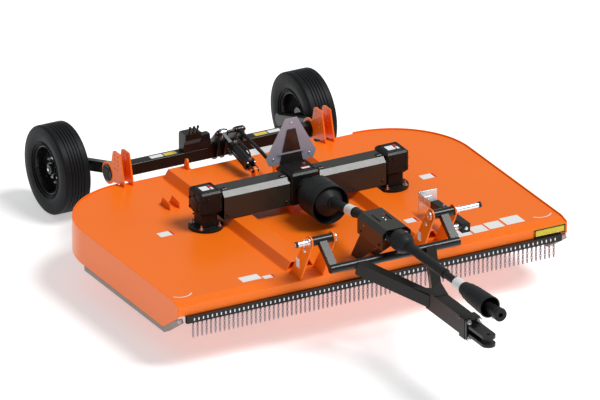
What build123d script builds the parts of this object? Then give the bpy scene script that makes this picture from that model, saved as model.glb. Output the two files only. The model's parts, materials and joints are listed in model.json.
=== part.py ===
from build123d import *
from math import atan2, cos, degrees, hypot, radians, sin
import os

# Trailed rotary brush mower with two overlapping blade spindles.
# Millimetres. +Z is up, the tongue points to -Y, the wheels stand at +Y.
# The origin is on the ground, under the middle of the machine's outline.

os.makedirs("parts", exist_ok=True)

# --- deck ---
deck_width = 3150.0
deck_depth = 2070.0
deck_top = 513.0            # upper face of the deck plate above the ground
deck_front = -687.0
plate_t = 6.0
corner_r = 620.0
skirt_t = 8.0
skirt_proud = 10.0          # the side bands stand this much above the plate
skirt_depth = 250.0
rear_skirt_depth = 200.0
nose_depth = 80.0           # sloped strip between the crease and the front face
nose_drop = 20.0
front_face_h = 70.0
skirt_cut_length = 220.0    # front lower corner of each side band is cut away
skirt_cut_height = 150.0
skid_length = 1200.0
skid_width = 50.0
skid_t = 36.0

# --- front chains ---
chain_pitch = 36.0
chain_span = 2960.0
chain_length = 150.0
chain_bar = 9.0
chain_rod_r = 4.0
chain_eye_gap = 0.4
rail_t = 6.0
rail_reach = 30.0
rail_height = 52.0

# --- cutting gear ---
spindle_x = 754.0
swing_margin = 260.0        # blade circle radius against half the deck's depth
swing_rear_gap = 172.0      # between the blade circle and the rear skirt
swing_r = deck_depth / 2 - swing_margin
spindle_y = deck_front + deck_depth - skirt_t - swing_rear_gap - swing_r
spindle_r = 30.0
shaft_gap = 0.05            # radial running clearance of every shaft in its bore
flange_r = 125.0
flange_t = 20.0
gearcase_size = 190.0
gearcase_top = 300.0        # above the deck plate
gearcase_neck_top = 115.0
gearcase_neck = 130.0
neck_flare = 30.0
gearcase_wall = 14.0
pan_r = 420.0
pan_t = 10.0
pan_z = deck_top - 150.0
blade_length = 440.0
blade_width = 100.0
blade_t = 13.0
blade_bolt_r = 19.0
blade_gap = 0.4             # radial play of a free-swinging blade on its bolt
blade_heel = 40.0           # blade behind its bolt
spindle_gear_r = 36.0       # pitch radii of the bevel gears at their backs
cross_gear_r = 44.0
input_gear_r = 60.0
gear_face = 0.35            # share of the cone length that carries teeth
gear_hub = 12.0
mesh_gap = 0.6
line_z = deck_top + 195.0   # height of the cross shafts and of the input
cross_shaft_r = 25.0
cover_width = 200.0
cover_bottom = deck_top + 70.0
cover_top = deck_top + 280.0
cover_t = 4.0
centre_case_w = 240.0
centre_case_d = 220.0
centre_case_top = deck_top + 310.0
input_r = 22.5

# --- frame on the deck ---
stiffener_gap = 7.0
stiffener_base = 230.0
stiffener_crown = 150.0
stiffener_h = 64.0
stiffener_t = 5.0
lug_t = 12.0

# --- tongue ---
pivot_y = deck_front - 120.0
pivot_z = deck_top + 330.0
pivot_r = 19.0
bracket_inner_x = 400.0
bracket_outer_x = 580.0
bracket_t = 12.0
hub_r = 34.0
crank_x = 490.0
crank_t = 60.0
cross_tube_y = deck_front - 310.0
cross_tube_z = deck_top + 180.0
cross_tube_r = 32.0
beam_width = 100.0
beam_height = 140.0
beam_rear = deck_front - 860.0
beam_front = deck_front - 1450.0
beam_top = deck_top + 140.0
beam_wall = 8.0
swivel_r = 24.0
clevis_eye_r = 14.0

# --- driveline ---
carrier_z = deck_top + 330.0
carrier_rear = deck_front
carrier_front = deck_front - 370.0
carrier_r = 22.5
gear_joint_y = spindle_y - 315.0
hook_front = deck_front - 1860.0
guard_length = 370.0
guard_front = deck_front - 340.0
guard_top = carrier_z + 70.0
guard_width = 231.0
guard_bevel = 35.0
guard_side = 120.0
guard_t = 3.0
stand_x = 70.0

# --- rear axle ---
rock_y = deck_front + 2250.0
rock_z = deck_top + 20.0
rock_tube = 90.0
rock_wall = 8.0
rock_round = 8.0
rock_right_end = -950.0
rock_left_end = 858.0
arm_x = 825.0
arm_width = 60.0
arm_height = 80.0
collar_wall = 3.67          # beyond the corners of the axle tube
collar_length = 100.0
wheel_x = 1009.0
wheel_y = deck_front + 2904.0
wheel_r = 330.0
wheel_z = wheel_r
tyre_width = 222.0
tyre_groove_steps = (-48.0, -24.0, 0.0, 24.0, 48.0)
rim_r = 178.0
rim_half = tyre_width / 2 - 22.0
axle_r = 22.0
rear_bracket_xs = (735.0, -905.0)
rear_bracket_gap = 70.0
rear_bracket_top = deck_top + 230.0
lift_pin_y = deck_front + 2160.0
lift_pin_z = deck_top + 180.0
lift_base_y = deck_front + 1670.0
lift_base_z = deck_top + 80.0
lift_x = -60.0
lift_pin_r = 12.5
lever_wall = 10.0
lift_open_gap = 6.0         # radial play where the closed linkage is opened
depth_rod_x = 75.0
depth_rod_r = 14.0
guide_y = deck_front + 1560.0

# --- parking jack ---
jack_x = 715.0
jack_z = deck_top + 140.0
jack_tube = 70.0
jack_leg = 56.0
jack_foot = 150.0
jack_front = deck_front - 60.0

# --- values that follow ---
half_w = deck_width / 2
deck_rear = deck_front + deck_depth
crease_y = deck_front + nose_depth
plate_low = deck_top - plate_t
face_top = deck_top - nose_drop
rock_corner_r = (rock_tube / 2 - rock_round) * 2**0.5 + rock_round
collar_r = rock_corner_r + collar_wall
face_low = face_top - front_face_h
skirt_low = deck_top - skirt_depth
skirt_in = half_w - skirt_t
band_end_x = half_w - corner_r
rear_arc_y = deck_rear - corner_r
stiffener_x = spindle_x - flange_r - stiffener_gap - stiffener_base / 2
gearcase_z = deck_top + gearcase_top
neck_z = deck_top + gearcase_neck_top
chain_rod_y = deck_front - 13.0
chain_rod_z = face_low - 26.0
SIDES = {"left": 1, "right": -1}


def finish(solid, name):
    """Label a finished piece and write it as one STEP file."""
    solid.label = name
    export_step(solid, f"parts/{name}.step")


# ---------------------------------------------------------------- deck plate
with BuildPart() as deck_plate:
    with BuildSketch(Plane.XY.offset(plate_low)):
        with Locations((0, (crease_y + deck_rear - skirt_t) / 2)):
            Rectangle(2 * skirt_in, deck_rear - skirt_t - crease_y)
        back_corners = vertices().group_by(Axis.Y)[-1]
        fillet(back_corners, corner_r - skirt_t)
    extrude(amount=plate_t)
    with Locations((spindle_x, spindle_y, deck_top), (-spindle_x, spindle_y, deck_top)):
        Hole(gearcase_neck / 2, depth=plate_t)
finish(deck_plate.part, "deck_plate")

# Folded front edge: a sloped strip, then a vertical face.
with BuildPart() as front_lip:
    with BuildSketch(Plane.YZ.offset(-skirt_in)):
        with BuildLine():
            Polyline(
                (crease_y, deck_top),
                (deck_front, face_top),
                (deck_front, face_low),
                (deck_front + plate_t, face_low),
                (deck_front + plate_t, face_top - plate_t / 2),
                (crease_y, plate_low),
                close=True,
            )
        make_face()
    extrude(amount=2 * skirt_in)
finish(front_lip.part, "front_lip")


def side_skirt(side):
    """Upright band along one side and round the rear corner, front toe cut away."""
    mid = cos(radians(45))
    centre = (side * band_end_x, rear_arc_y)

    def arc_point(radius):
        return (centre[0] + side * radius * mid, centre[1] + radius * mid)

    inner_r = corner_r - skirt_t
    with BuildPart() as skirt:
        with BuildSketch(Plane.XY.offset(skirt_low)):
            with BuildLine():
                Line((side * half_w, deck_front), (side * half_w, rear_arc_y))
                ThreePointArc(
                    (side * half_w, rear_arc_y), arc_point(corner_r), (centre[0], deck_rear)
                )
                Line((centre[0], deck_rear), (centre[0], deck_rear - skirt_t))
                ThreePointArc(
                    (centre[0], deck_rear - skirt_t), arc_point(inner_r), (side * skirt_in, rear_arc_y)
                )
                Line((side * skirt_in, rear_arc_y), (side * skirt_in, deck_front))
                Line((side * skirt_in, deck_front), (side * half_w, deck_front))
            make_face()
        extrude(amount=skirt_depth + skirt_proud)
        with BuildSketch(Plane.YZ):
            Polygon(
                (deck_front, skirt_low),
                (deck_front + skirt_cut_length, skirt_low),
                (deck_front, skirt_low + skirt_cut_height),
                align=None,
            )
            Polygon(
                (deck_front, deck_top + skirt_proud),
                (deck_front, face_top + skirt_proud),
                (crease_y, deck_top + skirt_proud),
                align=None,
            )
        extrude(amount=half_w * 2, both=True, mode=Mode.SUBTRACT)
    return skirt.part


def skid_shoe(side):
    """Wear bar under a side band, turned up along the cut toe."""
    toe_y = deck_front + skirt_cut_length
    rise = skirt_cut_height
    slope = hypot(skirt_cut_length, rise)
    drop_y = skid_t * rise / slope
    drop_z = skid_t * skirt_cut_length / slope
    heel_y = toe_y + skid_length
    knee = skid_t * (slope - skirt_cut_length) / rise
    with BuildPart() as shoe:
        with BuildSketch(Plane.YZ.offset(side * (half_w - skid_width / 2))):
            with BuildLine():
                Polyline(
                    (deck_front + 0.1 * skirt_cut_length, skirt_low + 0.9 * rise),
                    (toe_y, skirt_low),
                    (heel_y, skirt_low),
                    (heel_y, skirt_low - skid_t),
                    (toe_y - knee, skirt_low - skid_t),
                    (deck_front + 0.1 * skirt_cut_length - drop_y, skirt_low + 0.9 * rise - drop_z),
                    close=True,
                )
            make_face()
        extrude(amount=skid_width / 2, both=True)
        fillet(shoe.edges().filter_by(Axis.X).group_by(Axis.Z)[0].sort_by(Axis.Y)[-1:], skid_t / 3)
    return shoe.part


for word, side in SIDES.items():
    finish(side_skirt(side), f"side_skirt_{word}")
finish(skid_shoe(-1) + skid_shoe(1), "skid_shoes")

# Straight rear band under the plate, between the two curved ones.
with BuildPart() as rear_skirt:
    with BuildSketch(Plane.XY.offset(plate_low)):
        with Locations((0, deck_rear - 2.5 * skirt_t)):
            Rectangle(2 * band_end_x, skirt_t)
    extrude(amount=-rear_skirt_depth)
finish(rear_skirt.part, "rear_skirt")

# -------------------------------------------------------------- front chains
# Slotted angle under the lip, with the rod that the chains hang on.
chain_count = int(chain_span / chain_pitch)
with BuildPart() as chain_rail:
    with BuildSketch(Plane.YZ.offset(-chain_span / 2 - chain_pitch)):
        with BuildLine():
            Polyline(
                (deck_front + plate_t, face_low),
                (deck_front - rail_reach, face_low),
                (deck_front - rail_reach, face_low - rail_height),
                (deck_front - rail_reach + rail_t, face_low - rail_height),
                (deck_front - rail_reach + rail_t, face_low - rail_t),
                (deck_front + plate_t, face_low - rail_t),
                close=True,
            )
        make_face()
    extrude(amount=chain_span + 2 * chain_pitch)
    with BuildSketch(Plane.XZ.offset(-deck_front + rail_reach)):
        with Locations((0, chain_rod_z)):
            with GridLocations(chain_pitch, 0, chain_count, 1):
                Rectangle(chain_pitch / 3, rail_height / 2)
    extrude(amount=rail_t, both=True, mode=Mode.SUBTRACT)
    # end plates that carry the rod
    for end in (-1, 1):
        with BuildSketch(Plane.YZ.offset(end * (chain_span / 2 + chain_pitch - rail_t / 2))):
            with Locations((chain_rod_y, (face_low - rail_t + face_low - rail_height) / 2)):
                Rectangle(rail_reach - 2 * rail_t, rail_height - rail_t)
        extrude(amount=rail_t / 2, both=True)
    with BuildSketch(Plane.YZ.offset(-chain_span / 2 - chain_pitch + rail_t)):
        with Locations((chain_rod_y, chain_rod_z)):
            Circle(chain_rod_r)
    extrude(amount=chain_span + 2 * (chain_pitch - rail_t))
finish(chain_rail.part, "chain_rail")

eye_r = chain_rod_r + chain_eye_gap
with BuildPart() as front_chains:
    with BuildSketch(Plane.YZ.offset(-(chain_count - 1) * chain_pitch / 2)):
        with Locations((chain_rod_y, chain_rod_z)):
            Circle(eye_r + 3)
        with Locations((chain_rod_y, chain_rod_z - chain_length / 2)):
            Rectangle(chain_bar, chain_length)
        with Locations((chain_rod_y, chain_rod_z)):
            Circle(eye_r, mode=Mode.SUBTRACT)
    extrude(amount=chain_bar / 2, both=True)
    strand = front_chains.part
    with Locations([(n * chain_pitch, 0, 0) for n in range(1, chain_count)]):
        add(strand)
finish(front_chains.part, "front_chains")

# Reflector in its frame, on the front face at the machine's left.
with BuildPart() as reflector:
    with BuildSketch(Plane.XZ.offset(-deck_front)):
        with Locations((half_w - 145, face_low + front_face_h / 2)):
            RectangleRounded(250, 60, 6)
    extrude(amount=8)
    with BuildSketch(reflector.faces().sort_by(Axis.Y)[0]):
        RectangleRounded(232, 42, 3)
    extrude(amount=-3, mode=Mode.SUBTRACT)
finish(reflector.part, "reflector")


# ----------------------------------------------------------------- gearboxes
def side_gearbox(side):
    """Right-angle gearbox over a spindle: round flange, square neck, square case."""
    centre = (side * spindle_x, spindle_y)
    size = gearcase_size
    low = neck_z + neck_flare
    with BuildPart() as case:
        with BuildSketch(Plane.XY.offset(deck_top)):
            with Locations(centre):
                Circle(flange_r)
        extrude(amount=flange_t)
        with BuildSketch(Plane.XY.offset(deck_top + flange_t)):
            with Locations(centre):
                RectangleRounded(gearcase_neck, gearcase_neck, 16)
        extrude(amount=neck_z - deck_top - flange_t)
        with BuildSketch(Plane.XY.offset(neck_z)):
            with Locations(centre):
                RectangleRounded(gearcase_neck, gearcase_neck, 16)
        with BuildSketch(Plane.XY.offset(low)):
            with Locations(centre):
                RectangleRounded(size, size, 24)
        loft()
        with BuildSketch(Plane.XY.offset(low)):
            with Locations(centre):
                RectangleRounded(size, size, 24)
        extrude(amount=gearcase_z - low)
        chamfer(case.faces().sort_by(Axis.Z)[-1].edges(), 14)
        # gear chamber, spindle bore and cross-shaft bore
        with BuildSketch(Plane.XY.offset(low)):
            with Locations(centre):
                RectangleRounded(size - 2 * gearcase_wall, size - 2 * gearcase_wall, 12)
        extrude(amount=gearcase_z - gearcase_wall - low, mode=Mode.SUBTRACT)
        with BuildSketch(Plane.XY.offset(deck_top)):
            with Locations(centre):
                Circle(spindle_r + shaft_gap)
        extrude(amount=low - deck_top, mode=Mode.SUBTRACT)
        with BuildSketch(Plane.YZ.offset(side * spindle_x)):
            with Locations((spindle_y, line_z)):
                Circle(cross_shaft_r + shaft_gap)
        extrude(amount=-side * size / 2, mode=Mode.SUBTRACT)
        with Locations((*centre, deck_top + flange_t)):
            with PolarLocations(flange_r - 22, 4, start_angle=45):
                Hole(7, depth=flange_t)
    return case.part


def flange_bolts(side):
    """Four flange bolts with washers on one side gearbox."""
    seat = deck_top + flange_t
    with BuildPart() as bolts:
        for radius, low, high in ((6.9, plate_low + plate_t, seat), (15, seat, seat + 3)):
            with BuildSketch(Plane.XY.offset(low)):
                with Locations((side * spindle_x, spindle_y)):
                    with PolarLocations(flange_r - 22, 4, start_angle=45):
                        Circle(radius)
            extrude(amount=high - low)
        with BuildSketch(Plane.XY.offset(seat + 3)):
            with Locations((side * spindle_x, spindle_y)):
                with PolarLocations(flange_r - 22, 4, start_angle=45):
                    RegularPolygon(11, 6)
        extrude(amount=12)
    return bolts.part


for word, side in SIDES.items():
    finish(side_gearbox(side), f"gearbox_{word}_case")
finish(flange_bolts(-1) + flange_bolts(1), "gearbox_bolts")

# Centre gearbox: square case, cross bore along X, input bore towards the tongue.
centre_low = cover_bottom
with BuildPart() as centre_case:
    with BuildSketch(Plane.XY.offset(centre_low)):
        with Locations((0, spindle_y)):
            RectangleRounded(centre_case_w, centre_case_d, 22)
    extrude(amount=centre_case_top - centre_low)
    chamfer(centre_case.faces().sort_by(Axis.Z)[-1].edges(), 16)
    wall = gearcase_wall
    with BuildSketch(Plane.XY.offset(centre_low + wall)):
        with Locations((0, spindle_y)):
            RectangleRounded(centre_case_w - 2 * wall, centre_case_d - 2 * wall, 10)
    extrude(amount=centre_case_top - centre_low - 2.5 * wall, mode=Mode.SUBTRACT)
    with BuildSketch(Plane.YZ):
        with Locations((spindle_y, line_z)):
            Circle(cross_shaft_r + shaft_gap)
    extrude(amount=centre_case_w / 2, both=True, mode=Mode.SUBTRACT)
    with BuildSketch(Plane.XZ.offset(-spindle_y)):
        with Locations((0, line_z)):
            Circle(input_r + shaft_gap)
    extrude(amount=centre_case_d / 2, mode=Mode.SUBTRACT)
finish(centre_case.part, "gearbox_centre_case")


def cross_cover(side):
    """Folded sheet cover with bevelled top edges over one cross shaft."""
    near = centre_case_w / 2 + 2
    far = spindle_x - gearcase_size / 2 - 2
    half = cover_width / 2
    bevel = 38.0

    def outline(inset):
        return (
            (spindle_y - half + inset, cover_bottom),
            (spindle_y - half + inset, cover_top - bevel),
            (spindle_y - half + bevel + inset * 0.4, cover_top - inset),
            (spindle_y + half - bevel - inset * 0.4, cover_top - inset),
            (spindle_y + half - inset, cover_top - bevel),
            (spindle_y + half - inset, cover_bottom),
        )

    with BuildPart() as cover:
        with BuildSketch(Plane.YZ.offset(side * near)):
            Polygon(*outline(0), align=None)
            Polygon(*outline(cover_t), align=None, mode=Mode.SUBTRACT)
        extrude(amount=side * (far - near))
    return cover.part


finish(cross_cover(-1) + cross_cover(1), "cross_covers")


# -------------------------------------------------------- shafts with gears
def bevel_profile(own_r, mate_r, shaft_r):
    """Half section of a bevel gear, apex at the origin, axis along the first coordinate."""
    back = mate_r
    front = mate_r * (1 - gear_face)
    return (
        (front, shaft_r - 1),
        (front, own_r * (1 - gear_face) - mesh_gap),
        (back, own_r - mesh_gap),
        (back + gear_hub / 3, own_r - gear_hub / 3),
        (back + gear_hub, shaft_r + gear_hub / 2),
        (back + gear_hub, shaft_r - 1),
    )


def spindle(side):
    """Vertical blade spindle with its bevel gear cut on the top end."""
    axis_plane = Plane(origin=(side * spindle_x, spindle_y, line_z), x_dir=(0, 0, 1), z_dir=(0, 1, 0))
    case_floor = neck_z + neck_flare
    top_r = spindle_r - 10
    with BuildPart() as shaft:
        with BuildSketch(Plane.XY.offset(pan_z - 40)):
            with Locations((side * spindle_x, spindle_y)):
                Circle(spindle_r)
        extrude(amount=case_floor - pan_z + 40)
        with BuildSketch(Plane.XY.offset(case_floor)):
            with Locations((side * spindle_x, spindle_y)):
                Circle(top_r)
        extrude(amount=line_z + cross_gear_r + gear_hub - case_floor)
        with BuildSketch(axis_plane):
            Polygon(*bevel_profile(spindle_gear_r, cross_gear_r, top_r), align=None)
        revolve(axis=Axis((side * spindle_x, spindle_y, line_z), (0, 0, 1)))
    return shaft.part


with BuildPart() as cross_shaft:
    reach = spindle_x - spindle_gear_r * (1 - gear_face)
    with BuildSketch(Plane.YZ.offset(-reach)):
        with Locations((spindle_y, line_z)):
            Circle(cross_shaft_r)
    extrude(amount=2 * reach)
    line_axis = Axis((0, spindle_y, line_z), (1, 0, 0))
    gear_seats = (
        (spindle_x, -1, cross_gear_r, spindle_gear_r),
        (-spindle_x, 1, cross_gear_r, spindle_gear_r),
        (0, 1, cross_gear_r, input_gear_r),
    )
    for apex, facing, own_r, mate_r in gear_seats:
        with BuildSketch(Plane(origin=(apex, spindle_y, line_z), x_dir=(facing, 0, 0), z_dir=(0, -facing, 0))):
            Polygon(*bevel_profile(own_r, mate_r, cross_shaft_r), align=None)
        revolve(axis=line_axis)
finish(cross_shaft.part, "cross_shaft")

# Input pinion shaft of the centre gearbox, splined end towards the tongue.
input_end = gear_joint_y + 20
with BuildPart() as input_shaft:
    start = cross_gear_r * (1 - gear_face)
    with BuildSketch(Plane.XZ.offset(-(spindle_y - start))):
        with Locations((0, line_z)):
            Circle(input_r)
    extrude(amount=spindle_y - start - input_end)
    with BuildSketch(Plane(origin=(0, spindle_y, line_z), x_dir=(0, -1, 0), z_dir=(-1, 0, 0))):
        Polygon(*bevel_profile(input_gear_r, cross_gear_r, input_r), align=None)
    revolve(axis=Axis((0, spindle_y, line_z), (0, -1, 0)))
finish(input_shaft.part, "input_shaft")


# -------------------------------------------------------------- blade pans
blade_pivot_r = swing_r + blade_heel - blade_length


def blade_pan(side, heading):
    """Dished blade carrier with its hub and nut; heading is the blade line's angle."""
    centre = (side * spindle_x, spindle_y)
    with BuildPart() as pan:
        with BuildSketch(Plane(origin=(*centre, pan_z), x_dir=(1, 0, 0), z_dir=(0, -1, 0))):
            with BuildLine():
                Polyline(
                    (spindle_r, -30),
                    (65, -30),
                    (70, 0),
                    (pan_r - 20, 0),
                    (pan_r, 18),
                    (pan_r - 6, 26),
                    (pan_r - 24, pan_t),
                    (80, pan_t),
                    (62, 45),
                    (spindle_r, 45),
                    close=True,
                )
            make_face()
        revolve(axis=Axis((*centre, pan_z), (0, 0, 1)))
        with BuildSketch(Plane.XY.offset(pan_z)):
            with Locations(centre):
                with PolarLocations(blade_pivot_r, 2, start_angle=heading):
                    Circle(blade_bolt_r)
        extrude(amount=pan_t, mode=Mode.SUBTRACT)
    return pan.part


def blade_bolts(side, heading):
    """Two large blade bolts with shoulders above and heads under the blades."""
    head_z = pan_z - blade_t - 2
    with BuildPart() as bolts:
        for radius, low, high in (
            (blade_bolt_r, head_z, pan_z + pan_t),
            (blade_bolt_r + 13, pan_z + pan_t, pan_z + pan_t + 16),
            (blade_bolt_r + 13, head_z - 12, head_z),
        ):
            with BuildSketch(Plane.XY.offset(low)):
                with Locations((side * spindle_x, spindle_y)):
                    with PolarLocations(blade_pivot_r, 2, start_angle=heading):
                        Circle(radius)
            extrude(amount=high - low)
    return bolts.part


def blade(side, heading):
    """Free-swinging blade with a raised lift on its trailing edge."""
    out = (cos(radians(heading)), sin(radians(heading)))
    pivot = (side * spindle_x + blade_pivot_r * out[0], spindle_y + blade_pivot_r * out[1])
    top = Plane(origin=(*pivot, pan_z - 1), x_dir=(*out, 0), z_dir=(0, 0, 1))
    tip = swing_r - blade_pivot_r
    half = blade_width / 2
    with BuildPart() as knife:
        with BuildSketch(top):
            with BuildLine():
                Line((0, -half), (tip - 8, -half))
                Line((tip - 8, -half), (tip - 8, half))
                Line((tip - 8, half), (0, half))
                ThreePointArc((0, half), (-blade_heel, 0), (0, -half))
            make_face()
            Circle(blade_bolt_r + blade_gap, mode=Mode.SUBTRACT)
        extrude(amount=-blade_t)
        cutting = knife.edges().filter_by(Plane.XY).group_by(Axis.Z)[-1].filter_by(GeomType.LINE)
        chamfer(cutting.group_by(SortBy.LENGTH)[-1][:1], blade_t * 0.7)
    return knife.part


headings = {"left": 0.0, "right": 90.0}
for word, side in SIDES.items():
    finish(spindle(side), f"spindle_{word}")
    finish(blade_pan(side, headings[word]) + blade_bolts(side, headings[word]), f"blade_pan_{word}")
    for letter, turn in (("a", 0), ("b", 180)):
        finish(blade(side, headings[word] + turn), f"blade_{word}_{letter}")


# ------------------------------------------------------- frame on the deck
def stiffener(side):
    """Folded hat rail from the brackets to the rear edge, with an upright lug."""
    base, crown = stiffener_base / 2, stiffener_crown / 2
    top = deck_top + stiffener_h
    front = deck_front + 165
    with BuildPart() as rail:
        with BuildSketch(Plane.XZ.offset(-front)):
            with Locations((side * stiffener_x, deck_top)):
                Polygon((-base, 0), (-crown, stiffener_h), (crown, stiffener_h), (base, 0), align=None)
                Polygon(
                    (-base + 2 * stiffener_t, 0),
                    (-crown + stiffener_t, stiffener_h - stiffener_t),
                    (crown - stiffener_t, stiffener_h - stiffener_t),
                    (base - 2 * stiffener_t, 0),
                    align=None,
                    mode=Mode.SUBTRACT,
                )
        extrude(amount=front - deck_rear + 60)
        with BuildSketch(Plane.YZ.offset(side * (stiffener_x - crown + 2 * lug_t))):
            with Locations((deck_rear - 110, top)):
                Polygon((-38, 0), (-20, 60), (20, 60), (38, 0), align=None)
            with Locations((deck_rear - 110, top + 55)):
                Circle(20)
                Circle(9, mode=Mode.SUBTRACT)
        extrude(amount=lug_t / 2, both=True)
    return rail.part


finish(stiffener(-1) + stiffener(1), "stiffeners")


def front_bracket(x):
    """Upright plate that holds one end of a tongue pivot pin."""
    with BuildPart() as plate:
        with BuildSketch(Plane.YZ.offset(x)):
            with BuildLine():
                CenterArc((pivot_y, pivot_z), hub_r + 12, 0, 360)
                Line((deck_front + 2, deck_top), (deck_front + 155, deck_top))
            make_hull()
            with Locations((pivot_y, pivot_z)):
                Circle(pivot_r, mode=Mode.SUBTRACT)
        extrude(amount=bracket_t / 2, both=True)
    return plate.part


bracket_xs = [side * x for side in (-1, 1) for x in (bracket_inner_x, bracket_outer_x)]
finish(Part() + [front_bracket(x) for x in bracket_xs], "front_brackets")

# Two short fins welded to the deck outside the right gearbox.
with BuildPart() as deck_fins:
    for x in (-840, -765):
        with BuildSketch(Plane.YZ.offset(x)):
            with Locations((deck_front + 1560, deck_top)):
                Polygon((-75, 0), (-60, 48), (40, 60), (75, 0), align=None)
        extrude(amount=4, both=True)


# Folded stand that carries the centre gearbox over the deck.
with BuildPart() as centre_stand:
    with BuildSketch(Plane.XZ.offset(-spindle_y - centre_case_d / 2 + 10)):
        with Locations((0, (deck_top + cover_bottom) / 2)):
            Rectangle(centre_case_w - 30, cover_bottom - deck_top)
        with Locations((0, (deck_top + cover_bottom) / 2 - 4)):
            Rectangle(centre_case_w - 46, cover_bottom - deck_top - 8, mode=Mode.SUBTRACT)
    extrude(amount=centre_case_d - 20)
finish(centre_stand.part, "centre_stand")

# Slow-vehicle triangle with cut corners on a flat bar behind the centre gearbox.
marker_y = spindle_y + centre_case_d / 2
marker_low, marker_high = deck_top + 300.0, deck_top + 645.0
with BuildPart() as marker_bar:
    with BuildSketch(Plane.XZ.offset(-marker_y)):
        with Locations((0, deck_top + 290)):
            Rectangle(60, 260)
    extrude(amount=-6)
finish(marker_bar.part, "marker_bar")


def triangle_outline(inset):
    """Corners of the cut triangle, drawn in by an inset."""
    low, high = marker_low + inset, marker_high - 1.2 * inset
    foot, corner, peak = 205 - 1.5 * inset, 178 - 1.3 * inset, 48 - 0.45 * inset
    return [(-corner, low), (corner, low), (foot, low + 60), (peak, high), (-peak, high), (-foot, low + 60)]


with BuildPart() as marker_plate:
    with BuildSketch(Plane.XZ.offset(-marker_y - 6)):
        Polygon(*triangle_outline(0), align=None)
    extrude(amount=-4)
    with BuildSketch(Plane.XZ.offset(-marker_y - 8)):
        Polygon(*triangle_outline(52), align=None)
    extrude(amount=-2, mode=Mode.SUBTRACT)
finish(marker_plate.part, "marker_plate")

# ------------------------------------------------------------------- tongue
# Steel pins through each pair of brackets, reaching out past the outer plate.
with BuildPart() as pivot_pins:
    for side, reach in ((-1, 700.0), (1, 800.0)):
        with BuildSketch(Plane.YZ.offset(side * (bracket_inner_x - bracket_t))):
            with Locations((pivot_y, pivot_z)):
                Circle(pivot_r)
        extrude(amount=side * (reach - bracket_inner_x + bracket_t))
    # stub on the left outer plate that carries the jack
    with BuildSketch(Plane.YZ.offset(bracket_outer_x + bracket_t / 2)):
        with Locations((deck_front - 10, jack_z)):
            Circle(22)
    extrude(amount=jack_x - jack_tube / 2 - bracket_outer_x - bracket_t / 2)
finish(pivot_pins.part, "pivot_pins")

crank_run = cross_tube_y - pivot_y
crank_drop = cross_tube_z - pivot_z
crank_length = hypot(crank_run, crank_drop)
hub_half = (bracket_outer_x - bracket_inner_x - bracket_t) / 2 - 1.5
crank_plane = Plane(
    origin=(0, pivot_y, pivot_z), x_dir=(1, 0, 0), z_dir=(0, crank_run / crank_length, crank_drop / crank_length)
)
with BuildPart() as tongue_crank:
    for side in (-1, 1):
        with BuildSketch(Plane.YZ.offset(side * crank_x - hub_half)):
            with Locations((pivot_y, pivot_z)):
                Circle(hub_r)
        extrude(amount=2 * hub_half)
        with BuildSketch(crank_plane):
            with Locations((side * crank_x, 0)):
                Rectangle(crank_t, 46)
        extrude(amount=crank_length)
    with BuildSketch(Plane.YZ.offset(-crank_x - crank_t / 2)):
        with Locations((cross_tube_y, cross_tube_z)):
            Circle(cross_tube_r)
    extrude(amount=2 * crank_x + crank_t)
    with BuildSketch(Plane.YZ.offset(-crank_x - hub_half)):
        with Locations((pivot_y, pivot_z)):
            Circle(pivot_r + shaft_gap)
    extrude(amount=2 * (crank_x + hub_half), mode=Mode.SUBTRACT)
finish(tongue_crank.part, "tongue_crank")

beam_mid_z = beam_top - beam_height / 2


def tongue_arm(side):
    """Square tube from the cross tube to the beam, coped over the tube."""
    start = Vector(side * 290, cross_tube_y, cross_tube_z - 25)
    end = Vector(side * 20, beam_rear - 40, beam_mid_z)
    with BuildPart() as arm:
        with BuildSketch(Plane(origin=start, x_dir=(1, 0, 0), z_dir=(end - start).normalized())):
            Rectangle(72, 100)
        extrude(amount=(end - start).length)
        with BuildSketch(Plane.YZ.offset(-crank_x)):
            with Locations((cross_tube_y, cross_tube_z)):
                Circle(cross_tube_r)
        extrude(amount=2 * crank_x, mode=Mode.SUBTRACT)
        with BuildSketch(Plane.XY.offset(deck_top - 100)):
            with Locations((0, beam_rear - beam_width)):
                Rectangle(beam_width, 2 * beam_width)
            with Locations((-side * 200, beam_rear)):
                Rectangle(400, 600)
        extrude(amount=400, mode=Mode.SUBTRACT)
    return arm.part


finish(tongue_arm(-1) + tongue_arm(1), "tongue_arms")

# Box beam with the gusset on top and the solid end block that holds the swivel.
block_rear = beam_front + 80
with BuildPart() as tongue_beam:
    with BuildSketch(Plane.XZ.offset(-beam_rear)):
        with Locations((0, beam_mid_z)):
            Rectangle(beam_width, beam_height)
            Rectangle(beam_width - 2 * beam_wall, beam_height - 2 * beam_wall, mode=Mode.SUBTRACT)
    extrude(amount=beam_rear - block_rear)
    with BuildSketch(Plane.XZ.offset(-block_rear)):
        with Locations((0, beam_mid_z)):
            RectangleRounded(beam_width + 30, beam_height + 20, 8)
            Circle(swivel_r + shaft_gap, mode=Mode.SUBTRACT)
    extrude(amount=block_rear - beam_front)
    with BuildSketch(Plane.XY.offset(beam_top)):
        Polygon(
            (-beam_width / 2, beam_rear - 140),
            (beam_width / 2, beam_rear - 140),
            (105, beam_rear + 70),
            (0, beam_rear - 10),
            (-105, beam_rear + 70),
            align=None,
        )
    extrude(amount=8)
finish(tongue_beam.part, "tongue_beam")

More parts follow.
